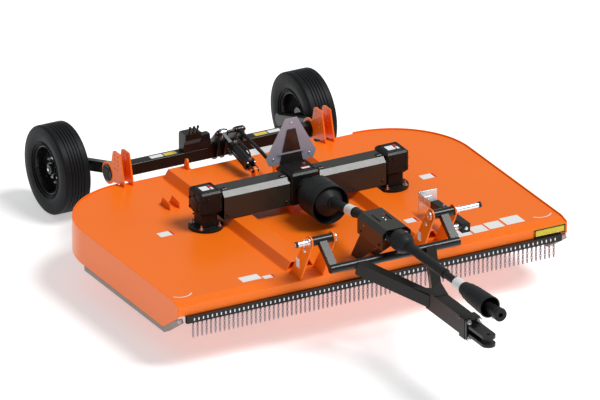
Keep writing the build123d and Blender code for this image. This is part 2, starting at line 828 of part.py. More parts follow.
# Swivelling clevis hitch: shank, flange, two eye plates and a keeper nut.
flange_y = beam_front - 2
with BuildPart() as hitch_clevis:
    with BuildSketch(Plane.XZ.offset(-block_rear - 2)):
        with Locations((0, beam_mid_z)):
            Circle(swivel_r)
    extrude(amount=block_rear + 2 - flange_y)
    with BuildSketch(Plane.XZ.offset(-block_rear - 14)):
        with Locations((0, beam_mid_z)):
            RegularPolygon(swivel_r + 12, 6)
    extrude(amount=12)
    with BuildSketch(Plane.XZ.offset(-flange_y)):
        with Locations((0, beam_mid_z)):
            RectangleRounded(beam_width + 24, beam_height + 14, 10)
    extrude(amount=25)
    for low in (beam_mid_z - 42, beam_mid_z + 20):
        with BuildSketch(Plane.XY.offset(low)):
            with BuildLine():
                Line((-52, flange_y - 25), (-52, deck_front - 1680))
                ThreePointArc((-52, deck_front - 1680), (0, deck_front - 1732), (52, deck_front - 1680))
                Line((52, deck_front - 1680), (52, flange_y - 25))
                Line((52, flange_y - 25), (-52, flange_y - 25))
            make_face()
            with Locations((0, deck_front - 1680)):
                Circle(clevis_eye_r, mode=Mode.SUBTRACT)
        extrude(amount=22)

with BuildPart() as hitch_bolts:
    with BuildSketch(Plane.XZ.offset(-flange_y + 25)):
        with Locations((0, beam_mid_z)):
            with GridLocations(80, 120, 2, 2):
                RegularPolygon(15, 6)
    extrude(amount=14)
finish(hitch_clevis.part + hitch_bolts.part, "hitch_clevis")

# ---------------------------------------------------------------- driveline
# Stand and bearing block at the deck's front edge for the jack shaft.
with BuildPart() as carrier_stand:
    for side in (-1, 1):
        with BuildSketch(Plane.YZ.offset(side * stand_x)):
            Polygon(
                (deck_front + 200, deck_top),
                (deck_front + 90, deck_top),
                (deck_front - 270, carrier_z - 60),
                (deck_front - 270, guard_top - guard_t),
                (deck_front - 60, guard_top - guard_t),
                (deck_front + 40, carrier_z - 80),
                align=None,
            )
        extrude(amount=5, both=True)
    with BuildSketch(Plane.XZ.offset(-deck_front + 140)):
        with Locations((0, carrier_z)):
            Rectangle(2 * stand_x - 10, 110)
            Circle(carrier_r + shaft_gap, mode=Mode.SUBTRACT)
    extrude(amount=100)
finish(carrier_stand.part, "carrier_stand")

with BuildPart() as shaft_guard:
    half = guard_width / 2
    with BuildSketch(Plane.XZ.offset(-guard_front)):
        with Locations((0, guard_top)):
            Polygon(
                (-half, -guard_bevel - guard_side),
                (-half, -guard_bevel),
                (-half + guard_bevel, 0),
                (half - guard_bevel, 0),
                (half, -guard_bevel),
                (half, -guard_bevel - guard_side),
                (half - guard_t, -guard_bevel - guard_side),
                (half - guard_t, -guard_bevel - guard_t / 2),
                (half - guard_bevel - guard_t / 2, -guard_t),
                (-half + guard_bevel + guard_t / 2, -guard_t),
                (-half + guard_t, -guard_bevel - guard_t / 2),
                (-half + guard_t, -guard_bevel - guard_side),
                align=None,
            )
    extrude(amount=-guard_length)
    with BuildSketch(Plane.XY.offset(guard_top)):
        with Locations((0, guard_front + guard_length * 0.6)):
            with GridLocations(90, 0, 2, 1):
                SlotOverall(130, 12, rotation=90)
    extrude(amount=-guard_t, mode=Mode.SUBTRACT)
    with BuildSketch(Plane.YZ.offset(-half)):
        with Locations((guard_front + guard_length * 0.75, guard_top - guard_bevel - 35)):
            Circle(9)
    extrude(amount=guard_t, mode=Mode.SUBTRACT)
finish(shaft_guard.part, "shaft_guard")


def bell(plane, profile):
    """Revolved sheet bell; the profile runs (radius, distance) along the plane's z."""
    with BuildPart() as shell:
        with BuildSketch(Plane(origin=plane.origin, x_dir=plane.x_dir, z_dir=-plane.y_dir)):
            Polygon(*profile, align=None)
        revolve(axis=Axis(plane.origin, plane.z_dir))
    return shell.part


def bell_profile(neck_r, mouth_r, neck_length, length, wall):
    """Neck, shoulder and skirt of a guard bell."""
    return [
        (neck_r, 0),
        (neck_r, neck_length),
        (mouth_r, neck_length + 45),
        (mouth_r, length),
        (mouth_r - wall, length),
        (mouth_r - wall, neck_length + 45 + wall),
        (neck_r - wall, neck_length + wall),
        (neck_r - wall, 0),
    ]


front_of_case = Plane(origin=(0, spindle_y - centre_case_d / 2, line_z), x_dir=(1, 0, 0), z_dir=(0, -1, 0))
finish(bell(front_of_case, bell_profile(72, 145, 100, 365, 5)), "input_bell")

# Tilted shaft between the gearbox and the jack shaft, with its still guard tube.
slope_run = gear_joint_y - carrier_rear
slope_rise = carrier_z - line_z
slope_length = hypot(slope_run, slope_rise)
tilted = Plane(
    origin=(0, gear_joint_y, line_z), x_dir=(1, 0, 0), z_dir=(0, -slope_run / slope_length, slope_rise / slope_length)
)
yoke_gap = 16.0
guard_end_gap = 91.3         # from the end of the guard tube to the jack shaft's joint
with BuildPart() as rear_shaft:
    with BuildSketch(tilted.offset(yoke_gap)):
        Circle(20)
    extrude(amount=slope_length - 2 * yoke_gap)
    for start in (yoke_gap, slope_length - yoke_gap - 45):
        with BuildSketch(tilted.offset(start)):
            Circle(38)
        extrude(amount=45)
finish(rear_shaft.part, "rear_shaft")

with BuildPart() as rear_shaft_guard:
    for radius, start, stop in ((46, 150, 180), (34, 180, 430), (40, 430, 540), (34, 540, slope_length - guard_end_gap)):
        with BuildSketch(tilted.offset(start)):
            Circle(radius)
            Circle(23, mode=Mode.SUBTRACT)
        extrude(amount=stop - start)
    with BuildSketch(Plane(origin=tilted.origin, x_dir=(1, 0, 0), z_dir=-tilted.y_dir)):
        Polygon((46, 225), (46, 200), (112, 138), (112, 52), (107, 52), (107, 136), (42, 196), (30, 200), (30, 225),
                align=None)
    revolve(axis=Axis(tilted.origin, tilted.z_dir))
finish(rear_shaft_guard.part, "rear_shaft_guard")

joint_y = carrier_front - 50
with BuildPart() as carrier_shaft:
    with BuildSketch(Plane.XZ.offset(-carrier_rear + yoke_gap)):
        with Locations((0, carrier_z)):
            Circle(38)
    extrude(amount=45)
    with BuildSketch(Plane.XZ.offset(-carrier_rear + yoke_gap + 45)):
        with Locations((0, carrier_z)):
            Circle(carrier_r)
    extrude(amount=carrier_rear - carrier_front - yoke_gap - 45)
    with BuildSketch(Plane.XZ.offset(-carrier_front - 8)):
        with Locations((0, carrier_z)):
            Circle(32)
    extrude(amount=30)
finish(carrier_shaft.part, "carrier_shaft")

# Cross of the universal joint between the jack shaft and the front shaft.
with BuildPart() as joint_cross:
    with BuildSketch(Plane.XZ.offset(-joint_y - 12)):
        with Locations((0, carrier_z)):
            Circle(13)
    extrude(amount=24)
    with BuildSketch(Plane.XY.offset(carrier_z - 30)):
        with Locations((0, joint_y)):
            Circle(10)
    extrude(amount=60)
    with BuildSketch(Plane.YZ.offset(-30)):
        with Locations((joint_y, carrier_z)):
            Circle(10)
    extrude(amount=60)
finish(joint_cross.part, "joint_cross")

shaft_plane = Plane(origin=(0, joint_y, carrier_z), x_dir=(1, 0, 0), z_dir=(0, -1, 0))
outer_front = 640.0
with BuildPart() as front_guard_outer:
    with BuildSketch(Plane(origin=shaft_plane.origin, x_dir=(1, 0, 0), z_dir=-shaft_plane.y_dir)):
        Polygon((76, -50), (76, 40), (52, 85), (35, 95), (35, outer_front), (29, outer_front),
                (29, 90), (46, 80), (71, 38), (71, -50), align=None)
    revolve(axis=Axis(shaft_plane.origin, shaft_plane.z_dir))
finish(front_guard_outer.part, "front_guard_outer")

hook_base = joint_y - hook_front
with BuildPart() as front_guard_inner:
    with BuildSketch(shaft_plane.offset(260)):
        Circle(28)
        Circle(24, mode=Mode.SUBTRACT)
    extrude(amount=outer_front + 220 - 260)
    with BuildSketch(shaft_plane.offset(outer_front + 160)):
        Circle(41)
        Circle(28, mode=Mode.SUBTRACT)
    extrude(amount=110)
    with BuildSketch(Plane(origin=shaft_plane.origin, x_dir=(1, 0, 0), z_dir=-shaft_plane.y_dir)):
        base = outer_front + 270
        Polygon((41, base), (50, base + 8), (58, base + 60), (66, base + 110), (78, base + 370), (73, base + 370),
                (61, base + 112), (53, base + 62), (30, base + 14), (30, base), align=None)
    revolve(axis=Axis(shaft_plane.origin, shaft_plane.z_dir))
finish(front_guard_inner.part, "front_guard_inner")

# Front half shaft with the yoke and splined quick-release collar for the tractor.
spline_bore_r = 17.5
with BuildPart() as front_shaft:
    with BuildSketch(shaft_plane.offset(300)):
        Circle(23.4)
    extrude(amount=outer_front + 300 - 300)
    for radius, start, stop in (
        (27, outer_front + 300, outer_front + 340),
        (46, outer_front + 340, outer_front + 375),
        (30, outer_front + 375, outer_front + 430),
        (46, outer_front + 430, outer_front + 470),
        (34, outer_front + 470, hook_base - 45),
        (48, hook_base - 45, hook_base),
    ):
        with BuildSketch(shaft_plane.offset(start)):
            Circle(radius)
        extrude(amount=stop - start)
    with BuildSketch(shaft_plane.offset(hook_base)):
        Circle(spline_bore_r)
    extrude(amount=-90, mode=Mode.SUBTRACT)
finish(front_shaft.part, "front_shaft")

# ---------------------------------------------------------------- rear axle


def rear_bracket(x):
    """Upright plate with two rows of setting holes and a bearing ring for the axle tube."""
    with BuildPart() as plate:
        with BuildSketch(Plane.YZ.offset(x)):
            Polygon(
                (deck_rear - 75, deck_top),
                (deck_rear + 10, deck_top),
                (rock_y - 60, rock_z - 50),
                (rock_y, rock_z),
                (deck_rear + 125, deck_top + 120),
                (deck_rear + 100, rear_bracket_top - 10),
                (deck_rear + 75, rear_bracket_top),
                (deck_rear - 10, rear_bracket_top),
                align=None,
            )
            with Locations((rock_y, rock_z)):
                Circle(collar_r + 20)
                Circle(collar_r + shaft_gap, mode=Mode.SUBTRACT)
            with Locations((deck_rear + 43, deck_top + 150)):
                with GridLocations(44, 34, 2, 4):
                    Circle(8, mode=Mode.SUBTRACT)
        extrude(amount=bracket_t / 2, both=True)
    return plate.part


plate_xs = [x + step for x in rear_bracket_xs for step in (-rear_bracket_gap / 2, rear_bracket_gap / 2)]
finish(Part() + [rear_bracket(x) for x in plate_xs], "rear_brackets")

with BuildPart() as rock_shaft:
    with BuildSketch(Plane.YZ.offset(rock_right_end)):
        with Locations((rock_y, rock_z)):
            RectangleRounded(rock_tube, rock_tube, rock_round)
            RectangleRounded(rock_tube - 2 * rock_wall, rock_tube - 2 * rock_wall, 4, mode=Mode.SUBTRACT)
    extrude(amount=rock_left_end - rock_right_end)
    for x in rear_bracket_xs:
        with BuildSketch(Plane.YZ.offset(x)):
            with Locations((rock_y, rock_z)):
                Circle(collar_r)
                RectangleRounded(rock_tube - 1, rock_tube - 1, rock_round, mode=Mode.SUBTRACT)
        extrude(amount=collar_length / 2, both=True)
finish(rock_shaft.part, "rock_shaft")

arm_run, arm_drop = wheel_y - rock_y, wheel_z - rock_z
arm_length = hypot(arm_run, arm_drop)
arm_dir = (0, arm_run / arm_length, arm_drop / arm_length)
arm_start = rock_tube / 2 - 25    # the arm grows out of the tube's wall


def wheel_arm(side):
    """Box arm from the axle tube down to a boss that holds the stub axle."""
    with BuildPart() as arm:
        with BuildSketch(Plane(origin=(side * arm_x, rock_y, rock_z), x_dir=(1, 0, 0), z_dir=arm_dir).offset(arm_start)):
            Rectangle(arm_width, arm_height)
        extrude(amount=arm_length - arm_start)
        with BuildSketch(Plane.YZ.offset(side * arm_x)):
            with Locations((wheel_y, wheel_z)):
                Circle(arm_height / 2 + 8)
        extrude(amount=arm_width / 2, both=True)
        with BuildSketch(Plane.YZ.offset(side * arm_x)):
            with Locations((rock_y, rock_z)):
                RectangleRounded(rock_tube, rock_tube, rock_round)
            with Locations((wheel_y, wheel_z)):
                Circle(axle_r)
        extrude(amount=arm_width, both=True, mode=Mode.SUBTRACT)
    return arm.part



with BuildPart() as axle_stubs:
    for side in (-1, 1):
        with BuildSketch(Plane.YZ.offset(side * (arm_x - arm_width / 2))):
            with Locations((wheel_y, wheel_z)):
                Circle(axle_r)
        extrude(amount=side * (wheel_x + 45 - arm_x + arm_width / 2))
finish(wheel_arm(-1) + wheel_arm(1) + axle_stubs.part, "wheel_arms")


def tyre(side):
    """Ribbed implement tyre as a turned ring, hollow inside."""
    half = tyre_width / 2
    axle_plane = Plane(origin=(side * wheel_x, wheel_y, wheel_z), x_dir=(0, 0, 1), z_dir=(0, 1, 0))
    with BuildPart() as ring:
        with BuildSketch(axle_plane):
            with BuildLine():
                Line((rim_r, -half + 24), (rim_r, half - 24))
                Spline((rim_r, half - 24), (rim_r + 60, half), (wheel_r - 20, half - 6))
                ThreePointArc((wheel_r - 20, half - 6), (wheel_r - 6, half - 12), (wheel_r, half - 26))
                Line((wheel_r, half - 26), (wheel_r, -half + 26))
                ThreePointArc((wheel_r, -half + 26), (wheel_r - 6, -half + 12), (wheel_r - 20, -half + 6))
                Spline((wheel_r - 20, -half + 6), (rim_r + 60, -half), (rim_r, -half + 24))
            make_face()
            for step in tyre_groove_steps:
                with Locations((wheel_r, step)):
                    Rectangle(14, 5, mode=Mode.SUBTRACT)
        revolve(axis=Axis((side * wheel_x, wheel_y, wheel_z), (1, 0, 0)))
    return ring.part


def rim(side):
    """Pressed rim with its disc, hub and five wheel bolts."""
    centre = (side * wheel_x, wheel_y, wheel_z)
    with BuildPart() as disc:
        with BuildSketch(Plane(origin=centre, x_dir=(0, 0, 1), z_dir=(0, -side, 0))):
            Polygon((rim_r, -rim_half), (rim_r, rim_half), (rim_r - 6, rim_half), (rim_r - 14, rim_half - 26),
                    (rim_r - 14, 12), (95, 6), (60, 22), (60, 48), (axle_r + shaft_gap, 48),
                    (axle_r + shaft_gap, -52), (50, -52), (52, 2), (92, -4), (rim_r - 14, 0),
                    (rim_r - 14, -rim_half + 26), (rim_r - 6, -rim_half), align=None)
        revolve(axis=Axis(centre, (1, 0, 0)))
        with BuildSketch(Plane.YZ.offset(side * (wheel_x + 4))):
            with Locations((wheel_y, wheel_z)):
                with PolarLocations(78, 5):
                    RegularPolygon(11, 6)
        extrude(amount=side * 24)
    return disc.part


for word, side in SIDES.items():
    finish(tyre(side), f"tyre_{word}")
    finish(rim(side), f"rim_{word}")

# --------------------------------------------------------------- lift linkage
with BuildPart() as lift_levers:
    for x in (lift_x - 30, lift_x + 30, depth_rod_x - 30, depth_rod_x + 30):
        with BuildSketch(Plane.YZ.offset(x)):
            with BuildLine():
                CenterArc((lift_pin_y, lift_pin_z), lift_pin_r + 14, 0, 360)
                CenterArc((rock_y, rock_z), rock_corner_r + lever_wall, 0, 360)
            make_hull()
            with Locations((rock_y, rock_z)):
                RectangleRounded(rock_tube, rock_tube, rock_round, mode=Mode.SUBTRACT)
            with Locations((lift_pin_y, lift_pin_z)):
                Circle(lift_pin_r, mode=Mode.SUBTRACT)
        extrude(amount=5, both=True)

with BuildPart() as lift_pin:
    with BuildSketch(Plane.YZ.offset(lift_x - 50)):
        with Locations((lift_pin_y, lift_pin_z)):
            Circle(lift_pin_r)
    extrude(amount=depth_rod_x - lift_x + 100)
finish(lift_levers.part + lift_pin.part, "lift_levers")

# Folded black housing welded on top of the axle tube beside the cylinder.
with BuildPart() as valve_box:
    with BuildSketch(Plane.YZ.offset(-350)):
        with Locations((rock_y, rock_z + rock_tube / 2)):
            Polygon((-45, 0), (-45, 60), (-70, 100), (-70, 150), (20, 150), (35, 130), (35, 0), align=None)
    extrude(amount=130)
    with BuildSketch(Plane.YZ.offset(-220)):
        with Locations((rock_y, rock_z + rock_tube / 2)):
            Polygon((-45, 0), (-45, 50), (-30, 105), (20, 105), (35, 90), (35, 0), align=None)
    extrude(amount=90)
finish(valve_box.part, "valve_box")

lift_run, lift_rise = lift_pin_y - lift_base_y, lift_pin_z - lift_base_z
lift_length = hypot(lift_run, lift_rise)
lift_dir = (0, lift_run / lift_length, lift_rise / lift_length)
lift_plane = Plane(origin=(lift_x, lift_base_y, lift_base_z), x_dir=(1, 0, 0), z_dir=lift_dir)
barrel_end = 330.0
with BuildPart() as lift_barrel:
    with BuildSketch(lift_plane.offset(60)):
        RectangleRounded(76, 76, 6)
    extrude(amount=38)
    with BuildSketch(lift_plane.offset(98)):
        Circle(36)
    extrude(amount=barrel_end - 98 - 38)
    with BuildSketch(lift_plane.offset(barrel_end - 38)):
        RectangleRounded(76, 76, 6)
    extrude(amount=38)
    with BuildSketch(lift_plane.offset(98)):
        with GridLocations(58, 58, 2, 2):
            Circle(5)
    extrude(amount=barrel_end - 98)
    with BuildSketch(lift_plane):
        with GridLocations(40, 0, 2, 1):
            Rectangle(12, 36)
    extrude(amount=62)
    for x in (lift_x - 20, lift_x + 20):
        with BuildSketch(Plane.YZ.offset(x)):
            with Locations((lift_base_y, lift_base_z)):
                Circle(18)
        extrude(amount=6, both=True)
    with BuildSketch(Plane.YZ.offset(lift_x - 40)):
        with Locations((lift_base_y, lift_base_z)):
            Circle(lift_pin_r + shaft_gap)
    extrude(amount=80, mode=Mode.SUBTRACT)
    with BuildSketch(lift_plane.offset(104)):
        Circle(28)
    extrude(amount=barrel_end - 38 - 104, mode=Mode.SUBTRACT)
    with BuildSketch(lift_plane.offset(104)):
        Circle(16 + shaft_gap)
    extrude(amount=barrel_end - 104, mode=Mode.SUBTRACT)
finish(lift_barrel.part, "lift_barrel")

with BuildPart() as lift_rod:
    with BuildSketch(lift_plane.offset(200)):
        Circle(28 - shaft_gap)
    extrude(amount=26)
    with BuildSketch(lift_plane.offset(226)):
        Circle(16)
    extrude(amount=lift_length - 226 - lift_pin_r - 10)
    with BuildSketch(Plane.YZ.offset(lift_x)):
        with Locations((lift_pin_y, lift_pin_z)):
            Circle(lift_pin_r + lift_open_gap + 14)
            Circle(lift_pin_r + lift_open_gap, mode=Mode.SUBTRACT)
    extrude(amount=18, both=True)
finish(lift_rod.part, "lift_rod")

# Lug, pin and guide plate on the deck for the cylinder and the depth rod.
with BuildPart() as lift_lug:
    with BuildSketch(Plane.YZ.offset(lift_x)):
        with BuildLine():
            CenterArc((lift_base_y, lift_base_z), 26, 0, 360)
            Line((lift_base_y - 60, deck_top), (lift_base_y + 30, deck_top))
        make_hull()
    extrude(amount=12, both=True)
    with BuildSketch(Plane.YZ.offset(lift_x - 34)):
        with Locations((lift_base_y, lift_base_z)):
            Circle(lift_pin_r)
    extrude(amount=68)

rod_run = lift_pin_y - guide_y
rod_rise = 80.0
rod_length = hypot(rod_run, rod_rise)
rod_dir = (0, -rod_run / rod_length, -rod_rise / rod_length)
rod_plane = Plane(origin=(depth_rod_x, lift_pin_y, lift_pin_z), x_dir=(1, 0, 0), z_dir=rod_dir)
with BuildPart() as depth_rod:
    with BuildSketch(rod_plane.offset(lift_pin_r + 6)):
        Circle(depth_rod_r)
    extrude(amount=rod_length + 170)
    with BuildSketch(Plane.YZ.offset(depth_rod_x)):
        with Locations((lift_pin_y, lift_pin_z)):
            Circle(lift_pin_r + 15)
    extrude(amount=18, both=True)
    with BuildSketch(Plane.YZ.offset(depth_rod_x)):
        with Locations((lift_pin_y, lift_pin_z)):
            Circle(lift_pin_r + shaft_gap)
    extrude(amount=18, both=True, mode=Mode.SUBTRACT)
finish(depth_rod.part, "depth_rod")

with BuildPart() as rod_guide:
    with BuildSketch(Plane.XZ.offset(-guide_y)):
        with Locations((depth_rod_x, deck_top)):
            Polygon((-45, 0), (-45, 120), (-25, 145), (25, 145), (45, 120), (45, 0), align=None)
            with Locations((0, lift_pin_z - rod_rise - deck_top)):
                Circle(depth_rod_r + 10, mode=Mode.SUBTRACT)
    extrude(amount=5, both=True)
finish(deck_fins.part + lift_lug.part + rod_guide.part, "deck_lugs")

# ------------------------------------------------------------- parking jack
jack_plane = Plane(origin=(jack_x, jack_front, jack_z), x_dir=(1, 0, 0), z_dir=(0, 1, 0))
with BuildPart() as jack_outer:
    with BuildSketch(jack_plane):
        RectangleRounded(jack_tube, jack_tube, 8)
    extrude(amount=460)
    with BuildSketch(jack_plane.offset(12)):
        Rectangle(jack_leg + 2, jack_leg + 2)
    extrude(amount=448, mode=Mode.SUBTRACT)
finish(jack_outer.part, "jack_outer")

with BuildPart() as jack_leg_foot:
    with BuildSketch(jack_plane.offset(160)):
        Rectangle(jack_leg, jack_leg)
        Rectangle(jack_leg - 8, jack_leg - 8, mode=Mode.SUBTRACT)
    extrude(amount=400)
    with BuildSketch(jack_plane.offset(560)):
        RectangleRounded(jack_foot, jack_foot, 6)
    extrude(amount=8)
finish(jack_leg_foot.part, "jack_leg")
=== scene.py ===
import json
import math

import bmesh
import bpy
from mathutils import Matrix, Vector

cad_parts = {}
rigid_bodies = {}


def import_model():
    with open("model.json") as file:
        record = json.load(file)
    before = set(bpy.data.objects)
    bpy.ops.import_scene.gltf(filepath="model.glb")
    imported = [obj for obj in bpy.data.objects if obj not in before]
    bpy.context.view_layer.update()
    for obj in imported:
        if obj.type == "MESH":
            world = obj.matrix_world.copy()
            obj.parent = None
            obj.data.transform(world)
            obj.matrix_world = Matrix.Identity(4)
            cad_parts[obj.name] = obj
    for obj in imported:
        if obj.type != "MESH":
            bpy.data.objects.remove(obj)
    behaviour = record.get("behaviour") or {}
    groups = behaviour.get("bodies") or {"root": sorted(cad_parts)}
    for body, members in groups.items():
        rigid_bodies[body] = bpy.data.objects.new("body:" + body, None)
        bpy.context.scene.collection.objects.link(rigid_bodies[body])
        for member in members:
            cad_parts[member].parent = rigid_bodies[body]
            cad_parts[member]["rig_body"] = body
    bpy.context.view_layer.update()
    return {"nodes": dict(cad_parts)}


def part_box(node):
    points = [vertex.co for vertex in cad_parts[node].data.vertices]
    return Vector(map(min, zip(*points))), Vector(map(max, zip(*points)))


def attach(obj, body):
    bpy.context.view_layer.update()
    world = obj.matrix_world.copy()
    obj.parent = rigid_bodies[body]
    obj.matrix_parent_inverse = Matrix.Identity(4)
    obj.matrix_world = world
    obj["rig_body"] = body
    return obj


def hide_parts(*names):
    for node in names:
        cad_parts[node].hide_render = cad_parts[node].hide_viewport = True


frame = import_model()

node = frame["nodes"]
bpy.ops.object.select_all(action="DESELECT")

# Camera: a long lens far off at the front right corner, so that the mower
# shows nearly without perspective.
view_heading = math.radians(28.4)
view_down = math.radians(24.0)
camera_distance = 125.0
ahead = Vector((
    math.sin(view_heading) * math.cos(view_down),
    math.cos(view_heading) * math.cos(view_down),
    -math.sin(view_down),
))
aim = Vector((0.06, 0.521, 0.513))
bpy.ops.object.camera_add(location=aim - ahead * camera_distance)
camera = bpy.context.object
camera.name = "camera"
camera.rotation_euler = ahead.to_track_quat("-Z", "Y").to_euler()
camera.data.sensor_width = 36.0
camera.data.lens = 1048.5
camera.data.clip_start = 1.0
camera.data.clip_end = 400.0
bpy.context.scene.camera = camera
bpy.context.scene.view_settings.view_transform = "Standard"

# Studio: a white floor that glows a little, a pale sky, and one wide soft sun
# from the mower's front left.
bpy.ops.mesh.primitive_plane_add(size=90, location=(0, 0, -0.002))
floor = bpy.context.object
floor.name = "studio_floor"
floor_paint = bpy.data.materials.new("studio_white")
floor_paint.use_nodes = True
floor_shader = floor_paint.node_tree.nodes["Principled BSDF"]
floor_shader.inputs["Base Color"].default_value = (0.80, 0.80, 0.80, 1)
floor_shader.inputs["Roughness"].default_value = 0.95
floor_shader.inputs["Emission Color"].default_value = (1.0, 1.0, 1.0, 1)
floor_shader.inputs["Emission Strength"].default_value = 0.45
floor.data.materials.append(floor_paint)

sky = bpy.data.worlds.new("studio_sky")
sky.use_nodes = True
sky.node_tree.nodes["Background"].inputs["Color"].default_value = (0.96, 0.98, 1.0, 1)
sky.node_tree.nodes["Background"].inputs["Strength"].default_value = 0.34
bpy.context.scene.world = sky

sun = bpy.data.lights.new("sun_lamp", "SUN")
sun.energy = 2.55
sun.angle = math.radians(24)
sun_object = bpy.data.objects.new("sun_lamp", sun)
sun_object.rotation_euler = Vector((0.36, -0.40, 0.84)).to_track_quat("Z", "Y").to_euler()
bpy.context.scene.collection.objects.link(sun_object)


# ---- Deck plate, lip and bands: folded sheet steel, welded together and powder
# coated orange. Every finish of the mower is built here from three shared effects:
# fine mottle, thin scratches and settled dust.
def socket_in(group, name, value, kind="NodeSocketFloat"):
    """Adds a named input with its default value to a shader node group."""
    made = group.interface.new_socket(name=name, in_out="INPUT", socket_type=kind)
    made.default_value = value
    return made


def surface_effects():
    """Shader group: mottle, scratch and dust masks from object coordinates."""
    group = bpy.data.node_groups.new("surface_effects", "ShaderNodeTree")
    socket_in(group, "Scale", 6.0)
    socket_in(group, "Scratches", 0.3)
    socket_in(group, "Dust", 0.2)
    for name in ("Mottle", "Scratch", "Dust", "Height"):
        group.interface.new_socket(name=name, in_out="OUTPUT", socket_type="NodeSocketFloat")
    tree, link = group.nodes, group.links.new
    given = tree.new("NodeGroupInput")
    out = tree.new("NodeGroupOutput")
    where = tree.new("ShaderNodeTexCoord")

    cloud = tree.new("ShaderNodeTexNoise")
    cloud.inputs["Detail"].default_value = 6.0
    cloud.inputs["Roughness"].default_value = 0.6
    link(where.outputs["Object"], cloud.inputs["Vector"])
    link(given.outputs["Scale"], cloud.inputs["Scale"])
    link(cloud.outputs["Fac"], out.inputs["Mottle"])

    stretch = tree.new("ShaderNodeMapping")
    stretch.inputs["Scale"].default_value = (3.0, 40.0, 12.0)
    stretch.inputs["Rotation"].default_value = (0.3, 0.2, 0.6)
    streak = tree.new("ShaderNodeTexNoise")
    streak.inputs["Scale"].default_value = 4.0
    streak.inputs["Detail"].default_value = 8.0
    streak.inputs["Roughness"].default_value = 0.75
    thin = tree.new("ShaderNodeValToRGB")
    thin.color_ramp.elements[0].position = 0.66
    thin.color_ramp.elements[1].position = 0.72
    strength = tree.new("ShaderNodeMath")
    strength.operation = "MULTIPLY"
    link(where.outputs["Object"], stretch.inputs["Vector"])
    link(stretch.outputs["Vector"], streak.inputs["Vector"])
    link(streak.outputs["Fac"], thin.inputs["Fac"])
    link(thin.outputs["Color"], strength.inputs[0])
    link(given.outputs["Scratches"], strength.inputs[1])
    link(strength.outputs[0], out.inputs["Scratch"])

    facing = tree.new("ShaderNodeNewGeometry")
    split = tree.new("ShaderNodeSeparateXYZ")
    up = tree.new("ShaderNodeMath")
    up.operation = "MULTIPLY"
    up.use_clamp = True
    speck = tree.new("ShaderNodeTexNoise")
    speck.inputs["Scale"].default_value = 55.0
    speck.inputs["Detail"].default_value = 5.0
    lay = tree.new("ShaderNodeMath")
    lay.operation = "MULTIPLY"
    amount = tree.new("ShaderNodeMath")
    amount.operation = "MULTIPLY"
    link(facing.outputs["Normal"], split.inputs["Vector"])
    link(split.outputs["Z"], up.inputs[0])
    link(cloud.outputs["Fac"], up.inputs[1])
    link(where.outputs["Object"], speck.inputs["Vector"])
    link(up.outputs[0], lay.inputs[0])
    link(speck.outputs["Fac"], lay.inputs[1])
    link(lay.outputs[0], amount.inputs[0])
    link(given.outputs["Dust"], amount.inputs[1])
    link(amount.outputs[0], out.inputs["Dust"])

    peel = tree.new("ShaderNodeTexNoise")
    peel.inputs["Scale"].default_value = 260.0
    peel.inputs["Detail"].default_value = 2.0
    link(where.outputs["Object"], peel.inputs["Vector"])
    link(peel.outputs["Fac"], out.inputs["Height"])
    return group


effects = surface_effects()


def mix_color(tree, fac, first, second):
    """Colour mix node with a linked factor; colours may be tuples or sockets."""
    mix = tree.nodes.new("ShaderNodeMix")
    mix.data_type = "RGBA"
    tree.links.new(fac, mix.inputs["Factor"])
    for value, place in ((first, "A"), (second, "B")):
        target = next(s for s in mix.inputs if s.name == place and s.type == "RGBA")
        if isinstance(value, tuple):
            target.default_value = (*value, 1)
        else:
            tree.links.new(value, target)
    return next(s for s in mix.outputs if s.type == "RGBA")


def coated(name, color, rough, deep, scale=5.0, scratches=0.25, dust=0.15, metallic=0.0, coat=0.0, peel=0.03,
           specular=0.28, dust_color=(0.42, 0.38, 0.32), scratch_color=(0.55, 0.55, 0.56)):
    """Material of one finish: base colour with mottle, scratches, dust and fine orange peel."""
    material = bpy.data.materials.new(name)
    material.use_nodes = True
    tree = material.node_tree
    shader = tree.nodes["Principled BSDF"]
    look = tree.nodes.new("ShaderNodeGroup")
    look.node_tree = effects
    look.inputs["Scale"].default_value = scale
    look.inputs["Scratches"].default_value = scratches
    look.inputs["Dust"].default_value = dust
    base = mix_color(tree, look.outputs["Mottle"], deep, color)
    scratched = mix_color(tree, look.outputs["Scratch"], base, scratch_color)
    dusty = mix_color(tree, look.outputs["Dust"], scratched, dust_color)
    tree.links.new(dusty, shader.inputs["Base Color"])
    gloss = tree.nodes.new("ShaderNodeMapRange")
    gloss.inputs["To Min"].default_value = rough * 0.75
    gloss.inputs["To Max"].default_value = min(1.0, rough * 1.3)
    tree.links.new(look.outputs["Mottle"], gloss.inputs["Value"])
    tree.links.new(gloss.outputs["Result"], shader.inputs["Roughness"])
    bump = tree.nodes.new("ShaderNodeBump")
    bump.inputs["Strength"].default_value = peel
    bump.inputs["Distance"].default_value = 0.002
    tree.links.new(look.outputs["Height"], bump.inputs["Height"])
    tree.links.new(bump.outputs["Normal"], shader.inputs["Normal"])
    shader.inputs["Metallic"].default_value = metallic
    shader.inputs["Coat Weight"].default_value = coat
    shader.inputs["Coat Roughness"].default_value = 0.10
    shader.inputs["Specular IOR Level"].default_value = specular if metallic < 0.5 else 0.5
    return material


